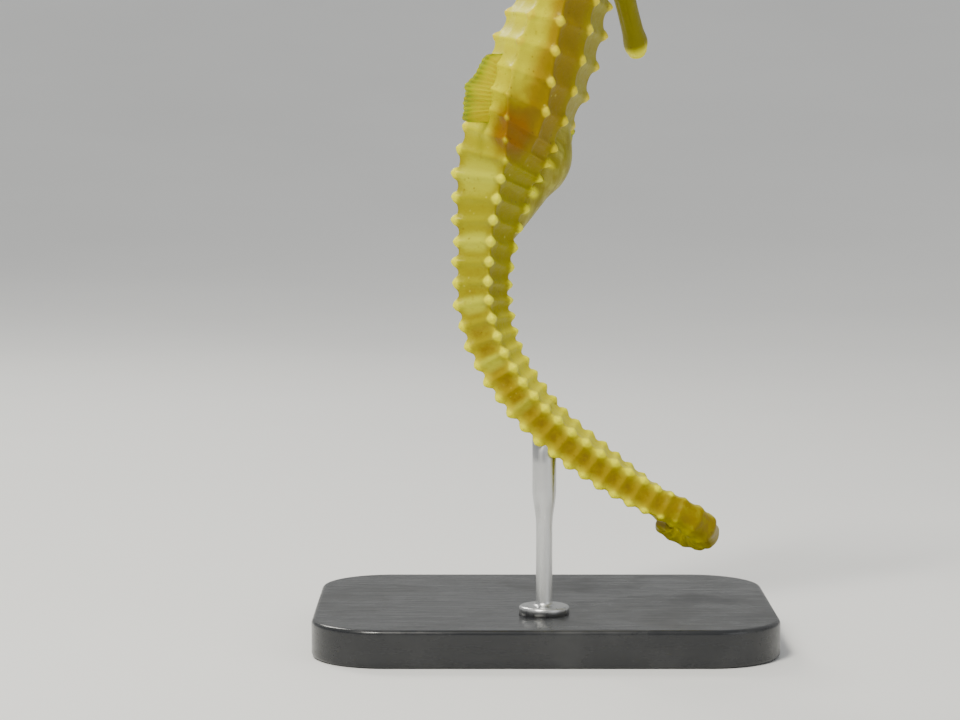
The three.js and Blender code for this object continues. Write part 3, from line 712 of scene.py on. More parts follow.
markings = {
    # ring, half length in rings and strength of each pale saddle; half width in degrees
    "saddles": [(15.0, 0.8, 1.0), (18.0, 0.56, 0.92), (21.1, 0.52, 0.85), (24.2, 0.5, 0.72),
                (27.1, 0.45, 0.5)],
    # after the saddles' half width: half width in degrees of the painted shade in the grooves between the
    # rings, and the rings over which it comes in
    "saddleWide": 41, "patchWide": 34, "patchFrom": (17, 24),
    # ring, half length, angle from the back and its half width, strength
    "blotches": [(12.35, 1.7, 46, 37, 1.0), (12.1, 1.4, -66, 34, 0.5)],
    # bright line along the tail's ridges: angle, half width, strength, where it begins and ends
    "ridge": (45, 15, 0.75), "ridgeFrom": (20, 26), "ridgeTo": (35, 38),
    # beads: least height, heights between which they get their colour, radius and its growth
    "beadLeast": 0.08, "beadFull": (0.05, 0.4), "beadRadius": (0.55, 0.42), "beadNear": 1.2,
    "faintBeads": (9.5, 14.5, 0.25),     # rings by the blotch and the beads' strength there
    "spineTip": (0.9, 0.75), "crownTip": (0.6, 2.3, 0.75),
    # painted shade in the creases of the head: behind the gill cover and round the eye
    "creaseWide": 0.09, "socket": (1.95, 0.3), "creaseSide": 1.5,
    "pouchFrom": (-0.5, 0.6), "farAway": 60,
}


# saddles, painted shade in the grooves between the rings, the blotch and bright ridges, as soft fields
def paintBody(mesh, ring, turn, onHead):
    marks = markings
    degrees = np.degrees(turn)
    saddle = sum(strength * np.exp(-(np.abs(ring - place) / long) ** 3 - (degrees / marks["saddleWide"]) ** 6)
                 for place, long, strength in marks["saddles"])
    patch = pulse(ring - 0.5) * np.exp(-(degrees / marks["patchWide"]) ** 4)
    blotch = sum(strength * np.exp(-(((ring - place) / long) ** 2 + ((degrees - middle) / wide) ** 2) ** 1.3)
                 for place, long, middle, wide, strength in marks["blotches"])
    angle, wide, strength = marks["ridge"]
    ridge = strength * bell(np.abs(degrees) - angle, wide)
    ridge *= plateau(marks["ridgeFrom"], marks["ridgeTo"], ring)
    turn = np.abs(turn)[:, None]
    pouch = pouchReach(ring, turn) - sectionReach(np.clip(ring, neckEnd, coilEnd), turn)
    setFields(mesh, saddle=saddle * (1 - onHead), patch=patch * smoothStep(*marks["patchFrom"], ring),
              blotch=blotch, ridge=ridge, ring=ring, turn=turn[:, 0] / np.pi,
              pouch=smoothStep(*marks["pouchFrom"], pouch[:, 0]))


# nearness to the tubercles, the head's spines and the coronet's top
def paintBeads(mesh, points, ring, foot):
    marks = markings
    knob = np.zeros(len(points))
    rings = np.arange(1.0, 47)
    centre, _, up, side = bodyFrames(rings)
    angles, _ = ridgeKnots(np.maximum(rings, neckEnd))
    heights = np.maximum(follow(bodyShape["tubercles"], rings)[:, 1:], 0)
    low, high, faint = marks["faintBeads"]
    for k, sign in ((1, 1), (1, -1), (2, 1), (2, -1), (3, 1), (3, -1), (4, 1)):
        a = angles[:, k:k + 1] * sign
        reach = bodyReach(rings, np.abs(a))
        peak = centre + up * reach * np.cos(a) + side * reach * np.sin(a)
        strength = smoothStep(*marks["beadFull"], heights[:, k - 1])
        if k == 1 and sign > 0:
            strength = strength * np.where((rings > low) & (rings < high), faint, 1)
        for n in np.flatnonzero(heights[:, k - 1] > marks["beadLeast"]):
            close = np.abs(ring - rings[n]) < marks["beadNear"]
            near = np.linalg.norm(points[close] - peak[n], axis=1)
            radius = marks["beadRadius"][0] + marks["beadRadius"][1] * heights[n, k - 1]
            knob[close] = np.maximum(knob[close], strength[n] * bell(near, radius))
    spines = np.array(headShape["spines"])
    strength, part = marks["spineTip"]
    for sign in (1, -1):
        angle = np.radians(spines[:, 1:2]) * sign
        tips = headPoints(spines[:, 0], angle, headReach(spines[:, 0], angle))[:, 0]
        for tip, size in zip(tips, spines[:, 3]):
            near = np.linalg.norm(points - tip, axis=1)
            knob = np.maximum(knob, strength * bell(near, part * size))
    strength, radius, part = marks["crownTip"]
    top = foot + crown * coronetShape["height"] * part
    near = np.linalg.norm(points - top, axis=1)
    setFields(mesh, bead=np.maximum(knob, strength * np.exp(-(near / radius) ** 4)))


# painted shade in the crease behind the gill cover and in the groove round the eye
def paintHead(mesh, distance, up, side, onHead):
    edge, beyond = coverPlace(distance, up)
    crease = bell(edge - headShape["crease"][1], markings["creaseWide"])
    crease = crease * smoothStep(*headShape["creaseFrom"], beyond)
    radius, width = markings["socket"]
    socket = bell(eyeDistance(distance, up) - radius, width)
    setFields(mesh, mouthDistance=np.where(onHead > 0, distance, markings["farAway"]), onHead=onHead,
              crease=np.maximum(crease, socket) * onHead * (np.abs(side) > markings["creaseSide"]))


joinShape = {
    # distances over which the softening fades: from the coronet's foot and from the head's surface,
    # and where it begins along the head
    "footUp": 1.2, "footFade": (1.6, 3.2), "headFade": (0.2, 1.6), "rearFrom": (31, 34.5),
    "strength": 0.5, "rounds": 14, "headEdge": (-0.8, 0.8),
}


# body, head and coronet joined; the creases where neck and head meet and at the coronet's
# foot are softened, each over some millimetres
def makeSkin():
    body, head, coronet = makeBody(), makeHead(), makeCoronet()
    print("lofts", [len(p.data.vertices) for p in (body, head, coronet)])
    mesh = joinSolids(body, [head, coronet])
    mesh.name = "seahorseSkin"
    points = readArray(mesh.vertices, "co", 3) / mm
    ring, turn, bodyGap = bodyPlaces(points)
    distance, up, side, headTurn = headPlaces(points)
    gap = headGap(distance, up, side, headTurn)
    shape = joinShape
    foot = headPlace(coronetShape["along"], coronetShape["up"] + shape["footUp"])
    nearFoot = 1 - smoothStep(*shape["footFade"], np.linalg.norm(points - foot, axis=1))
    nearJoin = (1 - smoothStep(*shape["headFade"], np.abs(gap))) * smoothStep(*shape["rearFrom"], distance)
    edges = readArray(mesh.edges, "vertices", 2, int)
    points = relax(points, edges, shape["strength"] * np.clip(nearFoot + nearJoin, 0, 1), shape["rounds"])
    mesh.vertices.foreach_set("co", (points * mm).ravel())
    onHead = smoothStep(*shape["headEdge"], bodyGap - gap)
    paintBody(mesh, ring, turn, onHead)
    paintHead(mesh, distance, up, side, onHead)
    paintBeads(mesh, points, ring, foot)
    mesh.shade_smooth()
    skin = bpy.data.objects.new("seahorseSkin", mesh)
    scene.collection.objects.link(skin)
    print("skin", len(mesh.vertices), "vertices", len(mesh.polygons), "faces")
    return skin


finShape = {
    # half thicknesses: added at the root, of the membrane, added on a ray, of the edge
    "root": 0.28, "membrane": 0.13, "ray": 0.07, "edge": 0.05,
    "scallop": 0.025, "wave": 0.03, "perRay": 12,
    # where up the fin these begin or end; rows up the fin below and above a height
    "scallopFrom": 0.6, "edgeFrom": 0.9, "rootEnd": 0.25, "rows": (18, 8, 0.8),
    "leastHalf": 0.35, "halfPower": 0.4,      # the blade thins towards its first and last ray
    # profile of a middle fin: height at its ends, where its sine begins and how far it runs
    "profile": (0.2, 0.02, 0.7), "ends": 0.1,
    "dorsal": {"from": 9.6, "to": 12.4, "height": 5.4, "sink": 1.2, "rays": 17, "lean": (-12, 38)},
    "anal": {"from": 11.05, "to": 11.55, "height": 1.7, "sink": 1.0, "rays": 5, "lean": (-12, 38)},
    "pectoral": {"along": 36.6, "side": 3.6, "top": 0.4, "root": 3.2, "length": 6.8, "round": 1.4,
                 "fan": 30, "sweep": 52, "rays": 16},
}


# a fan: roots in a row, each with the direction and height of its ray; the blade is thicker
# along the rays, thins towards its edge and waves a little from side to side
def makeFin(name, rays, roots, directions, heights):
    shape = finShape
    u = np.linspace(0, 1, len(roots))[:, None]
    run = unit(np.gradient(roots, axis=0))
    across = unit(np.cross(run, directions))
    low, high, knee = shape["rows"]
    rise = np.concatenate([np.linspace(0, knee, low, endpoint=False), np.linspace(knee, 1, high)])
    v = np.concatenate([rise, rise[::-1]])[None]
    side = np.concatenate([np.ones(len(rise)), -np.ones(len(rise))])[None]
    onRay = pulse(rays * u)
    scallop = 1 - shape["scallop"] * (1 - onRay) * smoothStep(shape["scallopFrom"], 1, v)
    half = shape["membrane"] + shape["ray"] * onRay ** 2 * (1 - 0.6 * v)
    half = mix(half, shape["edge"], smoothStep(shape["edgeFrom"], 1, v))
    half = half + shape["root"] * (1 - smoothStep(0, shape["rootEnd"], v))
    half = half * mix(shape["leastHalf"], 1, np.sin(np.pi * np.clip(u, 0.02, 0.98)) ** shape["halfPower"])
    bend = shape["wave"] * heights[:, None] * v ** 2 * np.sin(2 * np.pi * (rays / 4 * u + 0.3 * v))
    reach = heights[:, None] * v * scallop
    points = (roots[:, None] + directions[:, None] * reach[..., None]
              + across[:, None] * (bend + side * half)[..., None])
    piece = gridMesh(name, points, points[0].mean(axis=0), points[-1].mean(axis=0))
    onRay, tall = (np.broadcast_to(part, reach.shape).ravel() for part in (onRay, v))
    setFields(piece.data, ray=np.append(onRay, [1, 1]), rayHeight=np.append(tall, [0.5, 0.5]))
    return piece


def makeMiddleFin(name, shape, turn):
    u = np.linspace(0, 1, shape["rays"] * finShape["perRay"] + 1)
    ring = mix(shape["from"], shape["to"], u)
    centre, along, up, _ = bodyFrames(ring)
    sign = math.cos(turn)
    reach = bodyReach(ring, np.full((len(ring), 1), turn)) - shape["sink"]
    lean = np.radians(mix(shape["lean"][0], shape["lean"][1], u))[:, None]
    directions = up * np.cos(lean) * sign + along * np.sin(lean)
    ends = smoothStep(0, finShape["ends"], u) * smoothStep(1, 1 - finShape["ends"], u)
    low, begin, span = finShape["profile"]
    ends = ends * (low + (1 - low) * np.sin(np.pi * (begin + span * u)))
    heights = shape["sink"] + shape["height"] * ends
    return makeFin(name, shape["rays"], centre + up * reach * sign, directions, heights)


def makeSideFin(name, sign):
    shape = finShape["pectoral"]
    u = np.linspace(0, 1, shape["rays"] * finShape["perRay"] + 1)[:, None]
    centre, along, up, side = (part[0] for part in headFrames(np.array([shape["along"]], float)))
    outward = side * sign
    sweep = math.radians(shape["sweep"])
    middle = outward * math.cos(sweep) + along * math.sin(sweep)
    turn = np.radians(shape["fan"]) * (1 - 2 * u)
    roots = centre + outward * shape["side"] + up * (shape["top"] - shape["root"] * u)
    directions = middle * np.cos(turn) + up * np.sin(turn)
    heights = shape["length"] - shape["round"] * (2 * u[:, 0] - 1) ** 2
    return makeFin(name, shape["rays"], roots, directions, heights)


eyeShape = {
    "forward": 0.12, "upward": 0.04, "bulge": 0.035, "bulgeWide": 0.5,
    "front": (3, 66, 2.25), "back": (66, 176, 6), "columns": 72,     # steps from the pole in degrees
}


# a ball whose pole looks sideways and a little forward, with a slight bulge over the pupil
def makeEye(name, sign):
    shape, size = eyeShape, headShape["eyeRadius"]
    along, height, out = headShape["eye"]
    centre = headPlace(along, height, sign * out)
    look = unit(headSide * sign + snoutward * shape["forward"] + crown * shape["upward"])
    high = unit(crown - look * np.dot(crown, look))
    wide = np.cross(high, look)
    polar = np.radians(np.concatenate([np.arange(*shape["front"]), np.arange(*shape["back"])]))[:, None]
    spin = np.arange(shape["columns"])[None] / shape["columns"] * 2 * np.pi
    radius = size * (1 + shape["bulge"] * bell(polar, shape["bulgeWide"]))
    points = (look * (radius * np.cos(polar))[..., None]
              + ringPoints(centre, high, wide, radius * np.sin(polar), spin))
    piece = gridMesh(name, points, centre + look * size * (1 + shape["bulge"]), centre - look * size)
    polar, spin = (np.broadcast_to(part, points.shape[:2]).ravel() for part in (polar, spin))
    setFields(piece.data, polar=np.append(polar, [0, np.pi]), spinX=np.append(np.cos(spin), [0, 0]),
              spinY=np.append(np.sin(spin), [0, 0]))
    return piece


standShape = {
    "width": 74, "depth": 54, "height": 6, "corner": 11.7, "bevel": 0.7,
    "cornerSteps": 24, "bevelSteps": 9, "flat": (8, 2, 1.1),     # rows of the flat faces, from the edge
    "rod": (-0.2, -11.6), "rodRadius": 1.3, "footRadius": 4, "footHeight": 1.4, "footEdge": 0.5,
    "fillet": 0.7, "sunk": 0.05, "columns": 72,
    "cupRadius": 1.9, "cupFrom": 20, "cupTaper": 6, "top": 36.0, "topRadius": 1.0, "topEdge": 0.1,
}


# rounded rectangle: quarter circles at the corners; the profile is drawn in by inset
def makeBase():
    shape = standShape
    steps, bevel, height = shape["cornerSteps"], shape["bevel"], shape["height"]
    quarter = np.linspace(0, np.pi / 2, steps)
    angle = np.concatenate([quarter + k * np.pi / 2 for k in range(4)])
    signX, signY = np.repeat([1, -1, -1, 1], steps), np.repeat([1, 1, -1, -1], steps)
    x = signX * (shape["width"] / 2 - shape["corner"])
    y = signY * (shape["depth"] / 2 - shape["corner"])
    bend = np.linspace(0, np.pi / 2, shape["bevelSteps"])
    inset = np.concatenate([shape["flat"], bevel * (1 - np.sin(bend)), [0, 0],
                            bevel * (1 - np.cos(bend)), shape["flat"][::-1]])
    z = np.concatenate([[0, 0, 0], bevel * (1 - np.cos(bend)), [bevel * 1.6, height - bevel * 1.6],
                        height - bevel * (1 - np.sin(bend)), [height] * 3])
    radius = shape["corner"] - inset[:, None]
    points = np.stack([x + radius * np.cos(angle), y + radius * np.sin(angle),
                       np.broadcast_to(z[:, None], (len(z), len(angle)))], axis=-1)
    return gridMesh("standBase", points, (0, 0, 0), (0, 0, height))


# a turned profile about the rod's upright axis, each corner a small quarter round
def makeRod():
    shape = standShape
    bend = np.linspace(0, np.pi / 2, 7)
    foot, edge, fillet, thin = (shape[k] for k in ("footRadius", "footEdge", "fillet", "rodRadius"))
    low = shape["height"] - shape["sunk"]
    rise = low + shape["footHeight"]
    taper = np.linspace(0, 1, 14)
    radius = np.concatenate([
        [foot], foot - edge + edge * np.cos(bend), thin + fillet - fillet * np.sin(bend),
        mix(thin, shape["cupRadius"], smoothStep(0, 1, taper)),
        [shape["cupRadius"], shape["cupRadius"], shape["topRadius"]]])[:, None]
    z = np.concatenate([
        [low], rise - edge + edge * np.sin(bend), rise + fillet - fillet * np.cos(bend),
        shape["cupFrom"] + shape["cupTaper"] * taper,
        [shape["top"] - shape["cupTaper"], shape["top"] - shape["topEdge"], shape["top"]]])[:, None]
    angle = np.arange(shape["columns"]) / shape["columns"] * 2 * np.pi
    x, y = shape["rod"]
    points = np.stack([x + radius * np.cos(angle), y + radius * np.sin(angle), z + 0 * angle], axis=-1)
    return gridMesh("standRod", points, (x, y, low), (x, y, shape["top"]))


def addNode(tree, kind, inputs=None, **settings):
    made = tree.nodes.new(kind)
    for key, value in settings.items():
        setattr(made, key, value)
    for key, value in (inputs or {}).items():
        if isinstance(value, bpy.types.NodeSocket):
            tree.links.new(value, made.inputs[key])
        else:
            made.inputs[key].default_value = value
    return made


def mixColor(tree, amount, low, high):
    return addNode(tree, "ShaderNodeMix", {0: amount, 6: low, 7: high}, data_type="RGBA").outputs[2]


def calc(tree, kind, a, b=0.0):
    return addNode(tree, "ShaderNodeMath", {0: a, 1: b}, operation=kind).outputs[0]


def times(tree, a, b):
    return calc(tree, "MULTIPLY", a, b)


# value + (noise - 0.5) times amount
def waver(tree, value, by, amount):
    return calc(tree, "ADD", value, times(tree, calc(tree, "SUBTRACT", by, 0.5), amount))


def stretch(tree, where, by):
    return addNode(tree, "ShaderNodeVectorMath", {0: where, 1: by}, operation="MULTIPLY").outputs[0]


def remap(tree, value, low, high, start=0.0, end=1.0):
    return addNode(tree, "ShaderNodeMapRange", {0: value, 1: low, 2: high, 3: start, 4: end},
                   interpolation_type="SMOOTHSTEP").outputs[0]


# layers of colour laid over one another, each as how much of it shows and its tint; in place
# of how much, it can have a value and where the layer starts and is full
def paint(tree, color, *layers):
    for *given, tint in layers:
        color = mixColor(tree, given[0] if len(given) == 1 else remap(tree, *given), color, tint)
    return color


def noise(tree, where, scale, detail=3.0, roughness=0.55, distortion=0.0):
    return addNode(tree, "ShaderNodeTexNoise", {
        "Vector": where, "Scale": scale, "Detail": detail, "Roughness": roughness,
        "Distortion": distortion}).outputs["Fac"]


def cells(tree, where, scale, feature="F1"):
    return addNode(tree, "ShaderNodeTexVoronoi", {"Vector": where, "Scale": scale}, feature=feature)


def readAttribute(tree, name):
    return addNode(tree, "ShaderNodeAttribute", attribute_name=name).outputs["Fac"]


def objectPlace(tree):
    return addNode(tree, "ShaderNodeTexCoord").outputs["Object"]


def makeMaterial(name, **sockets):
    material = bpy.data.materials.new(name)
    material.use_nodes = True
    tree = material.node_tree
    shader = tree.nodes["Principled BSDF"]
    for key, value in sockets.items():
        shader.inputs[key.replace("_", " ")].default_value = value
    return material, tree, shader


def feed(tree, target, **sockets):
    for key, value in sockets.items():
        tree.links.new(value, target.inputs[key.replace("_", " ")])


def addBump(tree, shader, height, strength, distance):
    bump = addNode(tree, "ShaderNodeBump", {"Strength": strength, "Distance": distance, "Height": height})
    feed(tree, shader, Normal=bump.outputs[0])


def makeGroup(name, inputs, outputs):
    group = bpy.data.node_groups.new(name, "ShaderNodeTree")
    for title, kind, value in inputs:
        socket = group.interface.new_socket(title, in_out="INPUT", socket_type=kind)
        if value is not None:
            socket.default_value = value
    for title in outputs:
        group.interface.new_socket(title, in_out="OUTPUT", socket_type="NodeSocketFloat")
    return group, group.nodes.new("NodeGroupInput").outputs, group.nodes.new("NodeGroupOutput")


# fine skin grain: small cells pressed close together, over softer wrinkles
def makeGrainGroup():
    group, given, result = makeGroup("skinGrain", [
        ("Vector", "NodeSocketVector", None), ("Scale", "NodeSocketFloat", 2600.0),
    ], ["Height", "Freckles"])
    where, scale = given["Vector"], given["Scale"]
    pebbles = cells(group, where, scale, "SMOOTH_F1").outputs["Distance"]
    soft = noise(group, where, times(group, scale, 0.28), 4.0, 0.6)
    spots = cells(group, where, times(group, scale, 0.42)).outputs
    number = addNode(group, "ShaderNodeSeparateColor", {0: spots["Color"]}).outputs[0]
    chosen = calc(group, "GREATER_THAN", number, 0.62)
    feed(group, result, Height=calc(group, "ADD", times(group, pebbles, -0.6), soft),
         Freckles=times(group, remap(group, spots["Distance"], 0.3, 0.12), chosen))
    return group


# handling marks: a thin patchy dust and fine scratches drawn out along one direction
def makeWearGroup():
    group, given, result = makeGroup("handlingMarks", [
        ("Vector", "NodeSocketVector", None), ("Stretch", "NodeSocketVector", (1.0, 1.0, 1.0)),
    ], ["Dust", "Scratches"])
    where = given["Vector"]
    feed(group, result, Dust=remap(group, noise(group, where, 70.0, 6.0, 0.65), 0.42, 0.72),
         Scratches=noise(group, stretch(group, where, given["Stretch"]), 900.0, 5.0, 0.7))
    return group


grainGroup, wearGroup = makeGrainGroup(), makeWearGroup()


def useGroup(tree, group, inputs):
    return addNode(tree, "ShaderNodeGroup", inputs, node_tree=group).outputs


skinColors = {
    "back": (0.62, 0.585, 0.0, 1),
    "gold": (0.35, 0.225, 0.0, 1),
    "flank": (0.24, 0.16, 0.0, 1),
    "belly": (0.28, 0.25, 0.01, 1),
    "tailSide": (0.27, 0.24, 0.0, 1),
    "tailSideLitLow": (0.58, 0.54, 0.0, 1),
    "tailBackLow": (0.3, 0.215, 0.0, 1),
    "tailBack": (0.31, 0.285, 0.0, 1),
    "recessShadeAndMottle": (0.19, 0.12, 0.002, 1),
    "coil": (0.21, 0.145, 0.0, 1),
    "coilSideLit": (0.6, 0.52, 0.0, 1),
    "ridge": (0.62, 0.57, 0.0, 1),
    "saddle": (0.47, 0.475, 0.018, 1),
    "blotch": (0.21, 0.12, 0.0, 1),
    "blotchCore": (0.23, 0.095, 0.0, 1),
    "pouch": (0.23, 0.205, 0.008, 1),
    "pouchPale": (0.39, 0.36, 0.055, 1),
    "bead": (0.74, 0.71, 0.0, 1),
    "trunkBead": (0.68, 0.56, 0.0, 1),
    "beadTip": (0.84, 0.81, 0.0, 1),
    "snout": (0.2, 0.175, 0.0, 1),
    "lips": (0.78, 0.73, 0.01, 1),
    "freckleAndCreaseShade": (0.13, 0.06, 0.002, 1),
    "paleFreckle": (0.74, 0.7, 0.12, 1),
}


def makeSkinMaterial():
    material, tree, shader = makeMaterial(
        "seahorseSkin", Subsurface_Weight=0.12, Subsurface_Scale=0.0012,
        Subsurface_Radius=(1.0, 0.7, 0.15), Coat_Roughness=0.2, Specular_IOR_Level=0.28,
        Specular_Tint=(1.0, 0.93, 0.35, 1))
    colors, where = skinColors, objectPlace(tree)
    ring, turn, patch, ridge, blotch, pouch, saddle, mouthDistance, onHead, crease, bead = (
        readAttribute(tree, name) for name in (
            "ring", "turn", "patch", "ridge", "blotch", "pouch", "saddle", "mouthDistance", "onHead",
            "crease", "bead"))
    broad, fine = noise(tree, where, 190.0, 3.0, 0.5), noise(tree, where, 900.0, 4.0, 0.6)
    grain = useGroup(tree, grainGroup, {"Vector": where, "Scale": 2600.0})
    shifted = waver(tree, turn, broad, 0.16)
    # trunk: bright back, golden brown flank, olive belly
    lowered = calc(tree, "ADD", shifted, remap(tree, ring, 5.0, 10.0, 0.0, 0.07))
    trunkColor = paint(
        tree, colors["back"],
        (lowered, 0.27, 0.4, colors["gold"]),
        (lowered, 0.35, 0.47, colors["flank"]),
        (shifted, 0.62, 0.86, colors["belly"]))
    # tail: olive yellow, lower down with sides painted brighter as painted light from above and a browner
    # back, and painted shade darker in the grooves between rings
    # curl: painted light, its sides painted brighter than its back where the lamp leaves them in shade
    coilColor = paint(
        tree, colors["coil"],
        (shifted, 0.18, 0.42, colors["coilSideLit"]),
        (fine, 0.42, 0.7, 0.0, 0.6, colors["tailBack"]))
    # painted light: lower down, the tail's sides face up towards the light from above, and their colour is
    # painted brighter
    lower = remap(tree, ring, 20.0, 26.0)
    tailSide = mixColor(tree, lower, colors["tailSide"], colors["tailSideLitLow"])
    tailColor = paint(
        tree, mixColor(tree, lower, colors["tailBack"], colors["tailBackLow"]),
        (shifted, 0.19, 0.27, tailSide),
        (times(tree, patch, remap(tree, fine, 0.3, 0.62)), colors["recessShadeAndMottle"]),
        (ridge, colors["ridge"]),
        (ring, 35.5, 39.0, coilColor))
    # pouch: thin skin with pale streaks, palest at its rim
    streaks = noise(tree, stretch(tree, where, (1, 1, 0.22)), 620.0, 4.0, 0.6)
    pouchColor = paint(
        tree, colors["pouch"],
        (streaks, 0.35, 0.7, colors["pouchPale"]),
        (turn, 0.86, 0.97, colors["pouchPale"]))
    # head: olive snout, bright lips, and painted shade in its creases
    headColor = paint(
        tree, colors["back"],
        (broad, 0.38, 0.66, colors["flank"]),
        (mouthDistance, 22.0, 15.0, colors["snout"]),
        (mouthDistance, 2.6, 0.8, colors["lips"]),
        (times(tree, crease, 0.75), colors["freckleAndCreaseShade"]))
    beadColor = mixColor(tree, remap(tree, ring, 11.5, 14.5), colors["trunkBead"], colors["bead"])
    # painted shade in the grooves between the ribs, where minus half the cosine of the ring is high
    between = times(tree, calc(tree, "COSINE", times(tree, ring, 2 * math.pi)), -0.5)
    between = times(tree, remap(tree, between, -0.4, 0.5, 0.0, 0.22), calc(tree, "SUBTRACT", 1.0, onHead))
    dark = times(tree, grain["Freckles"], remap(tree, broad, 0.45, 0.65, 0.0, 0.55))
    pale = times(tree, grain["Freckles"], remap(tree, broad, 0.46, 0.34, 0.0, 0.35))
    beadTip = times(tree, remap(tree, bead, 0.55, 0.98), remap(tree, ring, 10, 15, 0.35, 0.75))
    blotch, saddle = waver(tree, blotch, broad, 0.9), waver(tree, saddle, fine, 0.5)
    wavyRing = calc(tree, "ADD", ring, times(tree, broad, 1.6))
    color = paint(
        tree, trunkColor,
        (wavyRing, 12.8, 15.2, tailColor),
        (blotch, 0.05, 0.8, colors["blotch"]),
        (blotch, 0.62, 1.1, colors["blotchCore"]),
        (pouch, pouchColor),
        (saddle, 0.15, 0.8, colors["saddle"]),
        (onHead, headColor),
        (between, colors["recessShadeAndMottle"]),
        # random darker mottling, in the same dark colour as the painted shade
        (times(tree, remap(tree, fine, 0.56, 0.8), 0.45), colors["recessShadeAndMottle"]),
        (dark, colors["freckleAndCreaseShade"]),
        (pale, colors["paleFreckle"]),
        (bead, 0.04, 0.42, beadColor),
        (beadTip, colors["beadTip"]))
    rough = calc(tree, "ADD", remap(tree, fine, 0.3, 0.7, 0.36, 0.52), times(tree, bead, -0.08))
    feed(tree, shader, Base_Color=color, Roughness=rough,
         Coat_Weight=remap(tree, broad, 0.35, 0.65, 0.0, 0.05))
    addBump(tree, shader, grain["Height"], 0.45, 0.00015)
    return material


finColors = {
    "membrane": (0.26, 0.36, 0.0, 1), "ray": (0.36, 0.42, 0.0, 1), "root": (0.57, 0.53, 0.0, 1),
}


def makeFinMaterial():
    material, tree, shader = makeMaterial("finMembrane", Subsurface_Weight=0.2, Subsurface_Scale=0.001,
                                          IOR=1.38, Specular_Tint=(1.0, 0.95, 0.5, 1))
    where, tall, ray = objectPlace(tree), readAttribute(tree, "rayHeight"), readAttribute(tree, "ray")
    fine = noise(tree, where, 800.0, 4.0, 0.6)
    grain = useGroup(tree, grainGroup, {"Vector": where, "Scale": 3200.0})
    color = paint(
        tree, finColors["membrane"],
        (ray, 0.1, 0.95, finColors["ray"]),
        (tall, 0.96, 0.5, finColors["root"]))
    alpha = calc(tree, "ADD", remap(tree, tall, 0.7, 1.0, 1.0, 0.74), times(tree, ray, 0.2))
    feed(tree, shader, Base_Color=color, Alpha=times(tree, alpha, remap(tree, fine, 0.2, 0.6, 0.82, 1.0)),
         Roughness=remap(tree, fine, 0.3, 0.7, 0.28, 0.44))
    addBump(tree, shader, grain["Height"], 0.3, 0.00006)
    return material


eyeColors = {
    "iris": (0.62, 0.36, 0.02, 1), "streak": (0.18, 0.07, 0.008, 1), "fleck": (0.86, 0.66, 0.12, 1),
    "pupil": (0.004, 0.004, 0.005, 1), "pupilRim": (0.9, 0.62, 0.06, 1),
    "outer": (0.5, 0.36, 0.03, 1), "lid": (0.05, 0.03, 0.01, 1),
}


# rings of colour about the pole, the angle from it in radians
def makeEyeMaterial():
    material, tree, shader = makeMaterial("eyeBall", Coat_Weight=0.6, Coat_Roughness=0.03, Coat_IOR=1.4,
                                          Specular_IOR_Level=0.2)
    colors, polar = eyeColors, readAttribute(tree, "polar")
    spin = addNode(tree, "ShaderNodeCombineXYZ", {
        0: readAttribute(tree, "spinX"), 1: readAttribute(tree, "spinY"),
        2: times(tree, polar, 0.35)}).outputs[0]
    streaks, flecks = noise(tree, spin, 9.0, 5.0, 0.65), noise(tree, objectPlace(tree), 3200.0, 3.0, 0.6)
    edge = waver(tree, polar, streaks, 0.1)
    color = paint(
        tree, colors["iris"],
        (streaks, 0.38, 0.64, colors["streak"]),
        (flecks, 0.56, 0.7, colors["fleck"]),
        (edge, 0.47, 0.41, colors["pupilRim"]),
        (polar, 0.4, 0.36, colors["pupil"]),
        (edge, 0.72, 0.86, colors["outer"]),
        (polar, 0.92, 1.02, colors["lid"]))
    feed(tree, shader, Base_Color=color, Roughness=remap(tree, streaks, 0.3, 0.7, 0.22, 0.36))
    return material


standColors = {
    "acrylic": (0.014, 0.015, 0.017, 1), "dust": (0.1, 0.1, 0.098, 1),
    "steel": (0.5, 0.51, 0.52, 1), "scratch": (0.66, 0.66, 0.65, 1), "film": (0.34, 0.33, 0.31, 1),
}


def makeBaseMaterial():
    material, tree, shader = makeMaterial("baseAcrylic", Specular_IOR_Level=0.5)
    marks = useGroup(tree, wearGroup, {"Vector": objectPlace(tree), "Stretch": (0.12, 1.0, 1.0)})
    dust, scratches = marks["Dust"], marks["Scratches"]
    rough = calc(tree, "ADD", remap(tree, scratches, 0.35, 0.7, 0.2, 0.3), times(tree, dust, 0.16))
    feed(tree, shader, Roughness=rough, Base_Color=paint(
        tree, standColors["acrylic"], (times(tree, dust, 0.22), standColors["dust"])))
    addBump(tree, shader, scratches, 0.06, 0.0001)
    return material


def makeRodMaterial():
    material, tree, shader = makeMaterial("brushedSteel", Metallic=1.0)
    marks = useGroup(tree, wearGroup, {"Vector": objectPlace(tree), "Stretch": (1.0, 1.0, 0.05)})
    dust, scratches = marks["Dust"], marks["Scratches"]
    color = paint(
        tree, standColors["steel"],
        (scratches, standColors["scratch"]), (times(tree, dust, 0.2), standColors["film"]))
    feed(tree, shader, Base_Color=color, Roughness=remap(tree, scratches, 0.3, 0.7, 0.22, 0.42))
    addBump(tree, shader, scratches, 0.12, 0.00005)
    return material


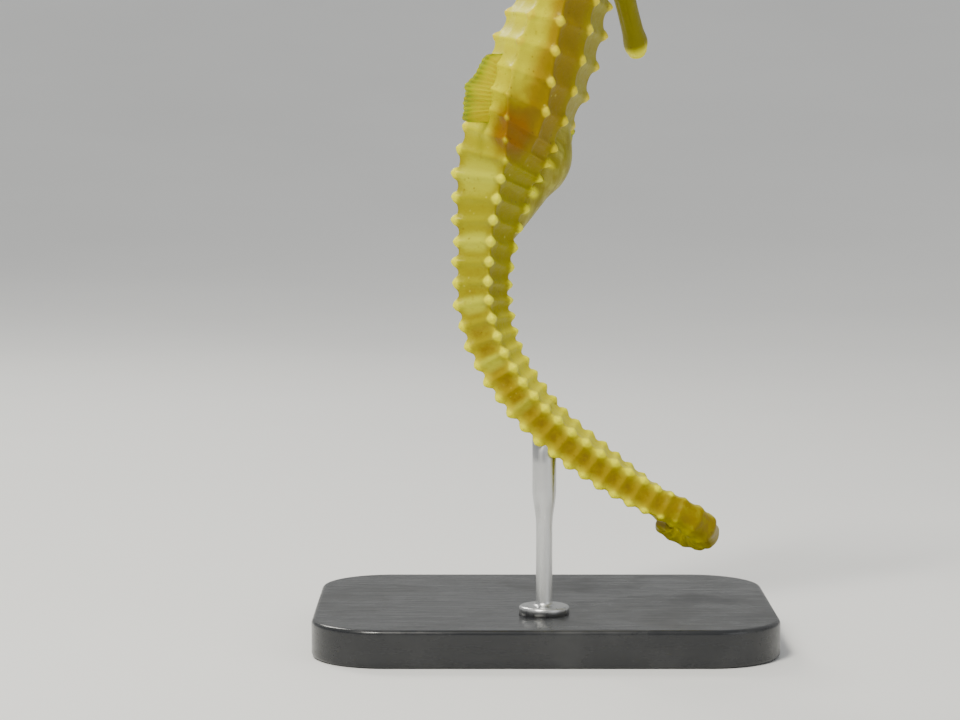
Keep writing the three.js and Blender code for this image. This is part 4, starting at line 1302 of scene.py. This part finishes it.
def makeFloorMaterial():
    material, tree, shader = makeMaterial("studioFloor")
    cloud = noise(tree, objectPlace(tree), 3.0, 4.0, 0.5)
    shade = (remap(tree, cloud, 0.3, 0.7, 0.0, 0.25), studio["floorShade"])
    feed(tree, shader, Base_Color=paint(tree, studio["floorColor"], shade),
         Roughness=remap(tree, cloud, 0.3, 0.7, 0.62, 0.74))
    return material


floorShape = {"flat": 0.6, "radius": 3.4, "rise": 0.22, "columns": 96}     # in metres


# a round floor that rises with the square of the way out past its flat middle, so that no edge shows
def makeFloor():
    shape = floorShape
    radius = np.concatenate([[shape["flat"] / 2], np.linspace(shape["flat"], shape["radius"], 24)])[:, None]
    z = shape["rise"] * np.maximum(radius - shape["flat"], 0) ** 2
    angle = np.arange(shape["columns"]) / shape["columns"] * 2 * np.pi
    points = np.stack([radius * np.cos(angle), radius * np.sin(angle), z + 0 * angle], axis=-1) / mm
    floor = gridMesh("floor", points, (0, 0, 0))
    floor.data.flip_normals()
    return floor


def finish(piece, material, slot, *nodes):
    piece.data.materials.clear()
    piece.data.materials.append(material)
    piece.data.polygons.foreach_set("material_index", np.zeros(len(piece.data.polygons), np.int32))
    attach(piece, "root")
    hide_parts(*nodes)


makeCamera()
makeSky()
for name in ("key", "fill", "rim"):
    makeLight(name, *studio[name])
floor = makeFloor()
floor.data.materials.append(makeFloorMaterial())
print("camera, lights and floor")

finish(makeSkin(), makeSkinMaterial(), "skin", "head", "snout", "mouth", "coronet", "neck", "trunk",
       "tail_base", "tail_upper", "tail_middle", "tail_lower", "tail_tip", "brood_pouch")
finMaterial, eyeMaterial = makeFinMaterial(), makeEyeMaterial()
finish(makeMiddleFin("dorsalFin", finShape["dorsal"], 0.0), finMaterial, "fin", "dorsal_fin")
finish(makeMiddleFin("analFin", finShape["anal"], math.pi), finMaterial, "fin", "anal_fin")
for label, sign in (("Right", 1), ("Left", -1)):
    node = label.lower()
    finish(makeSideFin("pectoralFin" + label, sign), finMaterial, "fin", "pectoral_fin_" + node)
    finish(makeEye("eye" + label, sign), eyeMaterial, "eye", "eye_" + node)
print("fins and eyes")
finish(makeBase(), makeBaseMaterial(), "plinth", "stand_base")
finish(makeRod(), makeRodMaterial(), "rod", "stand_rod")
print("stand")
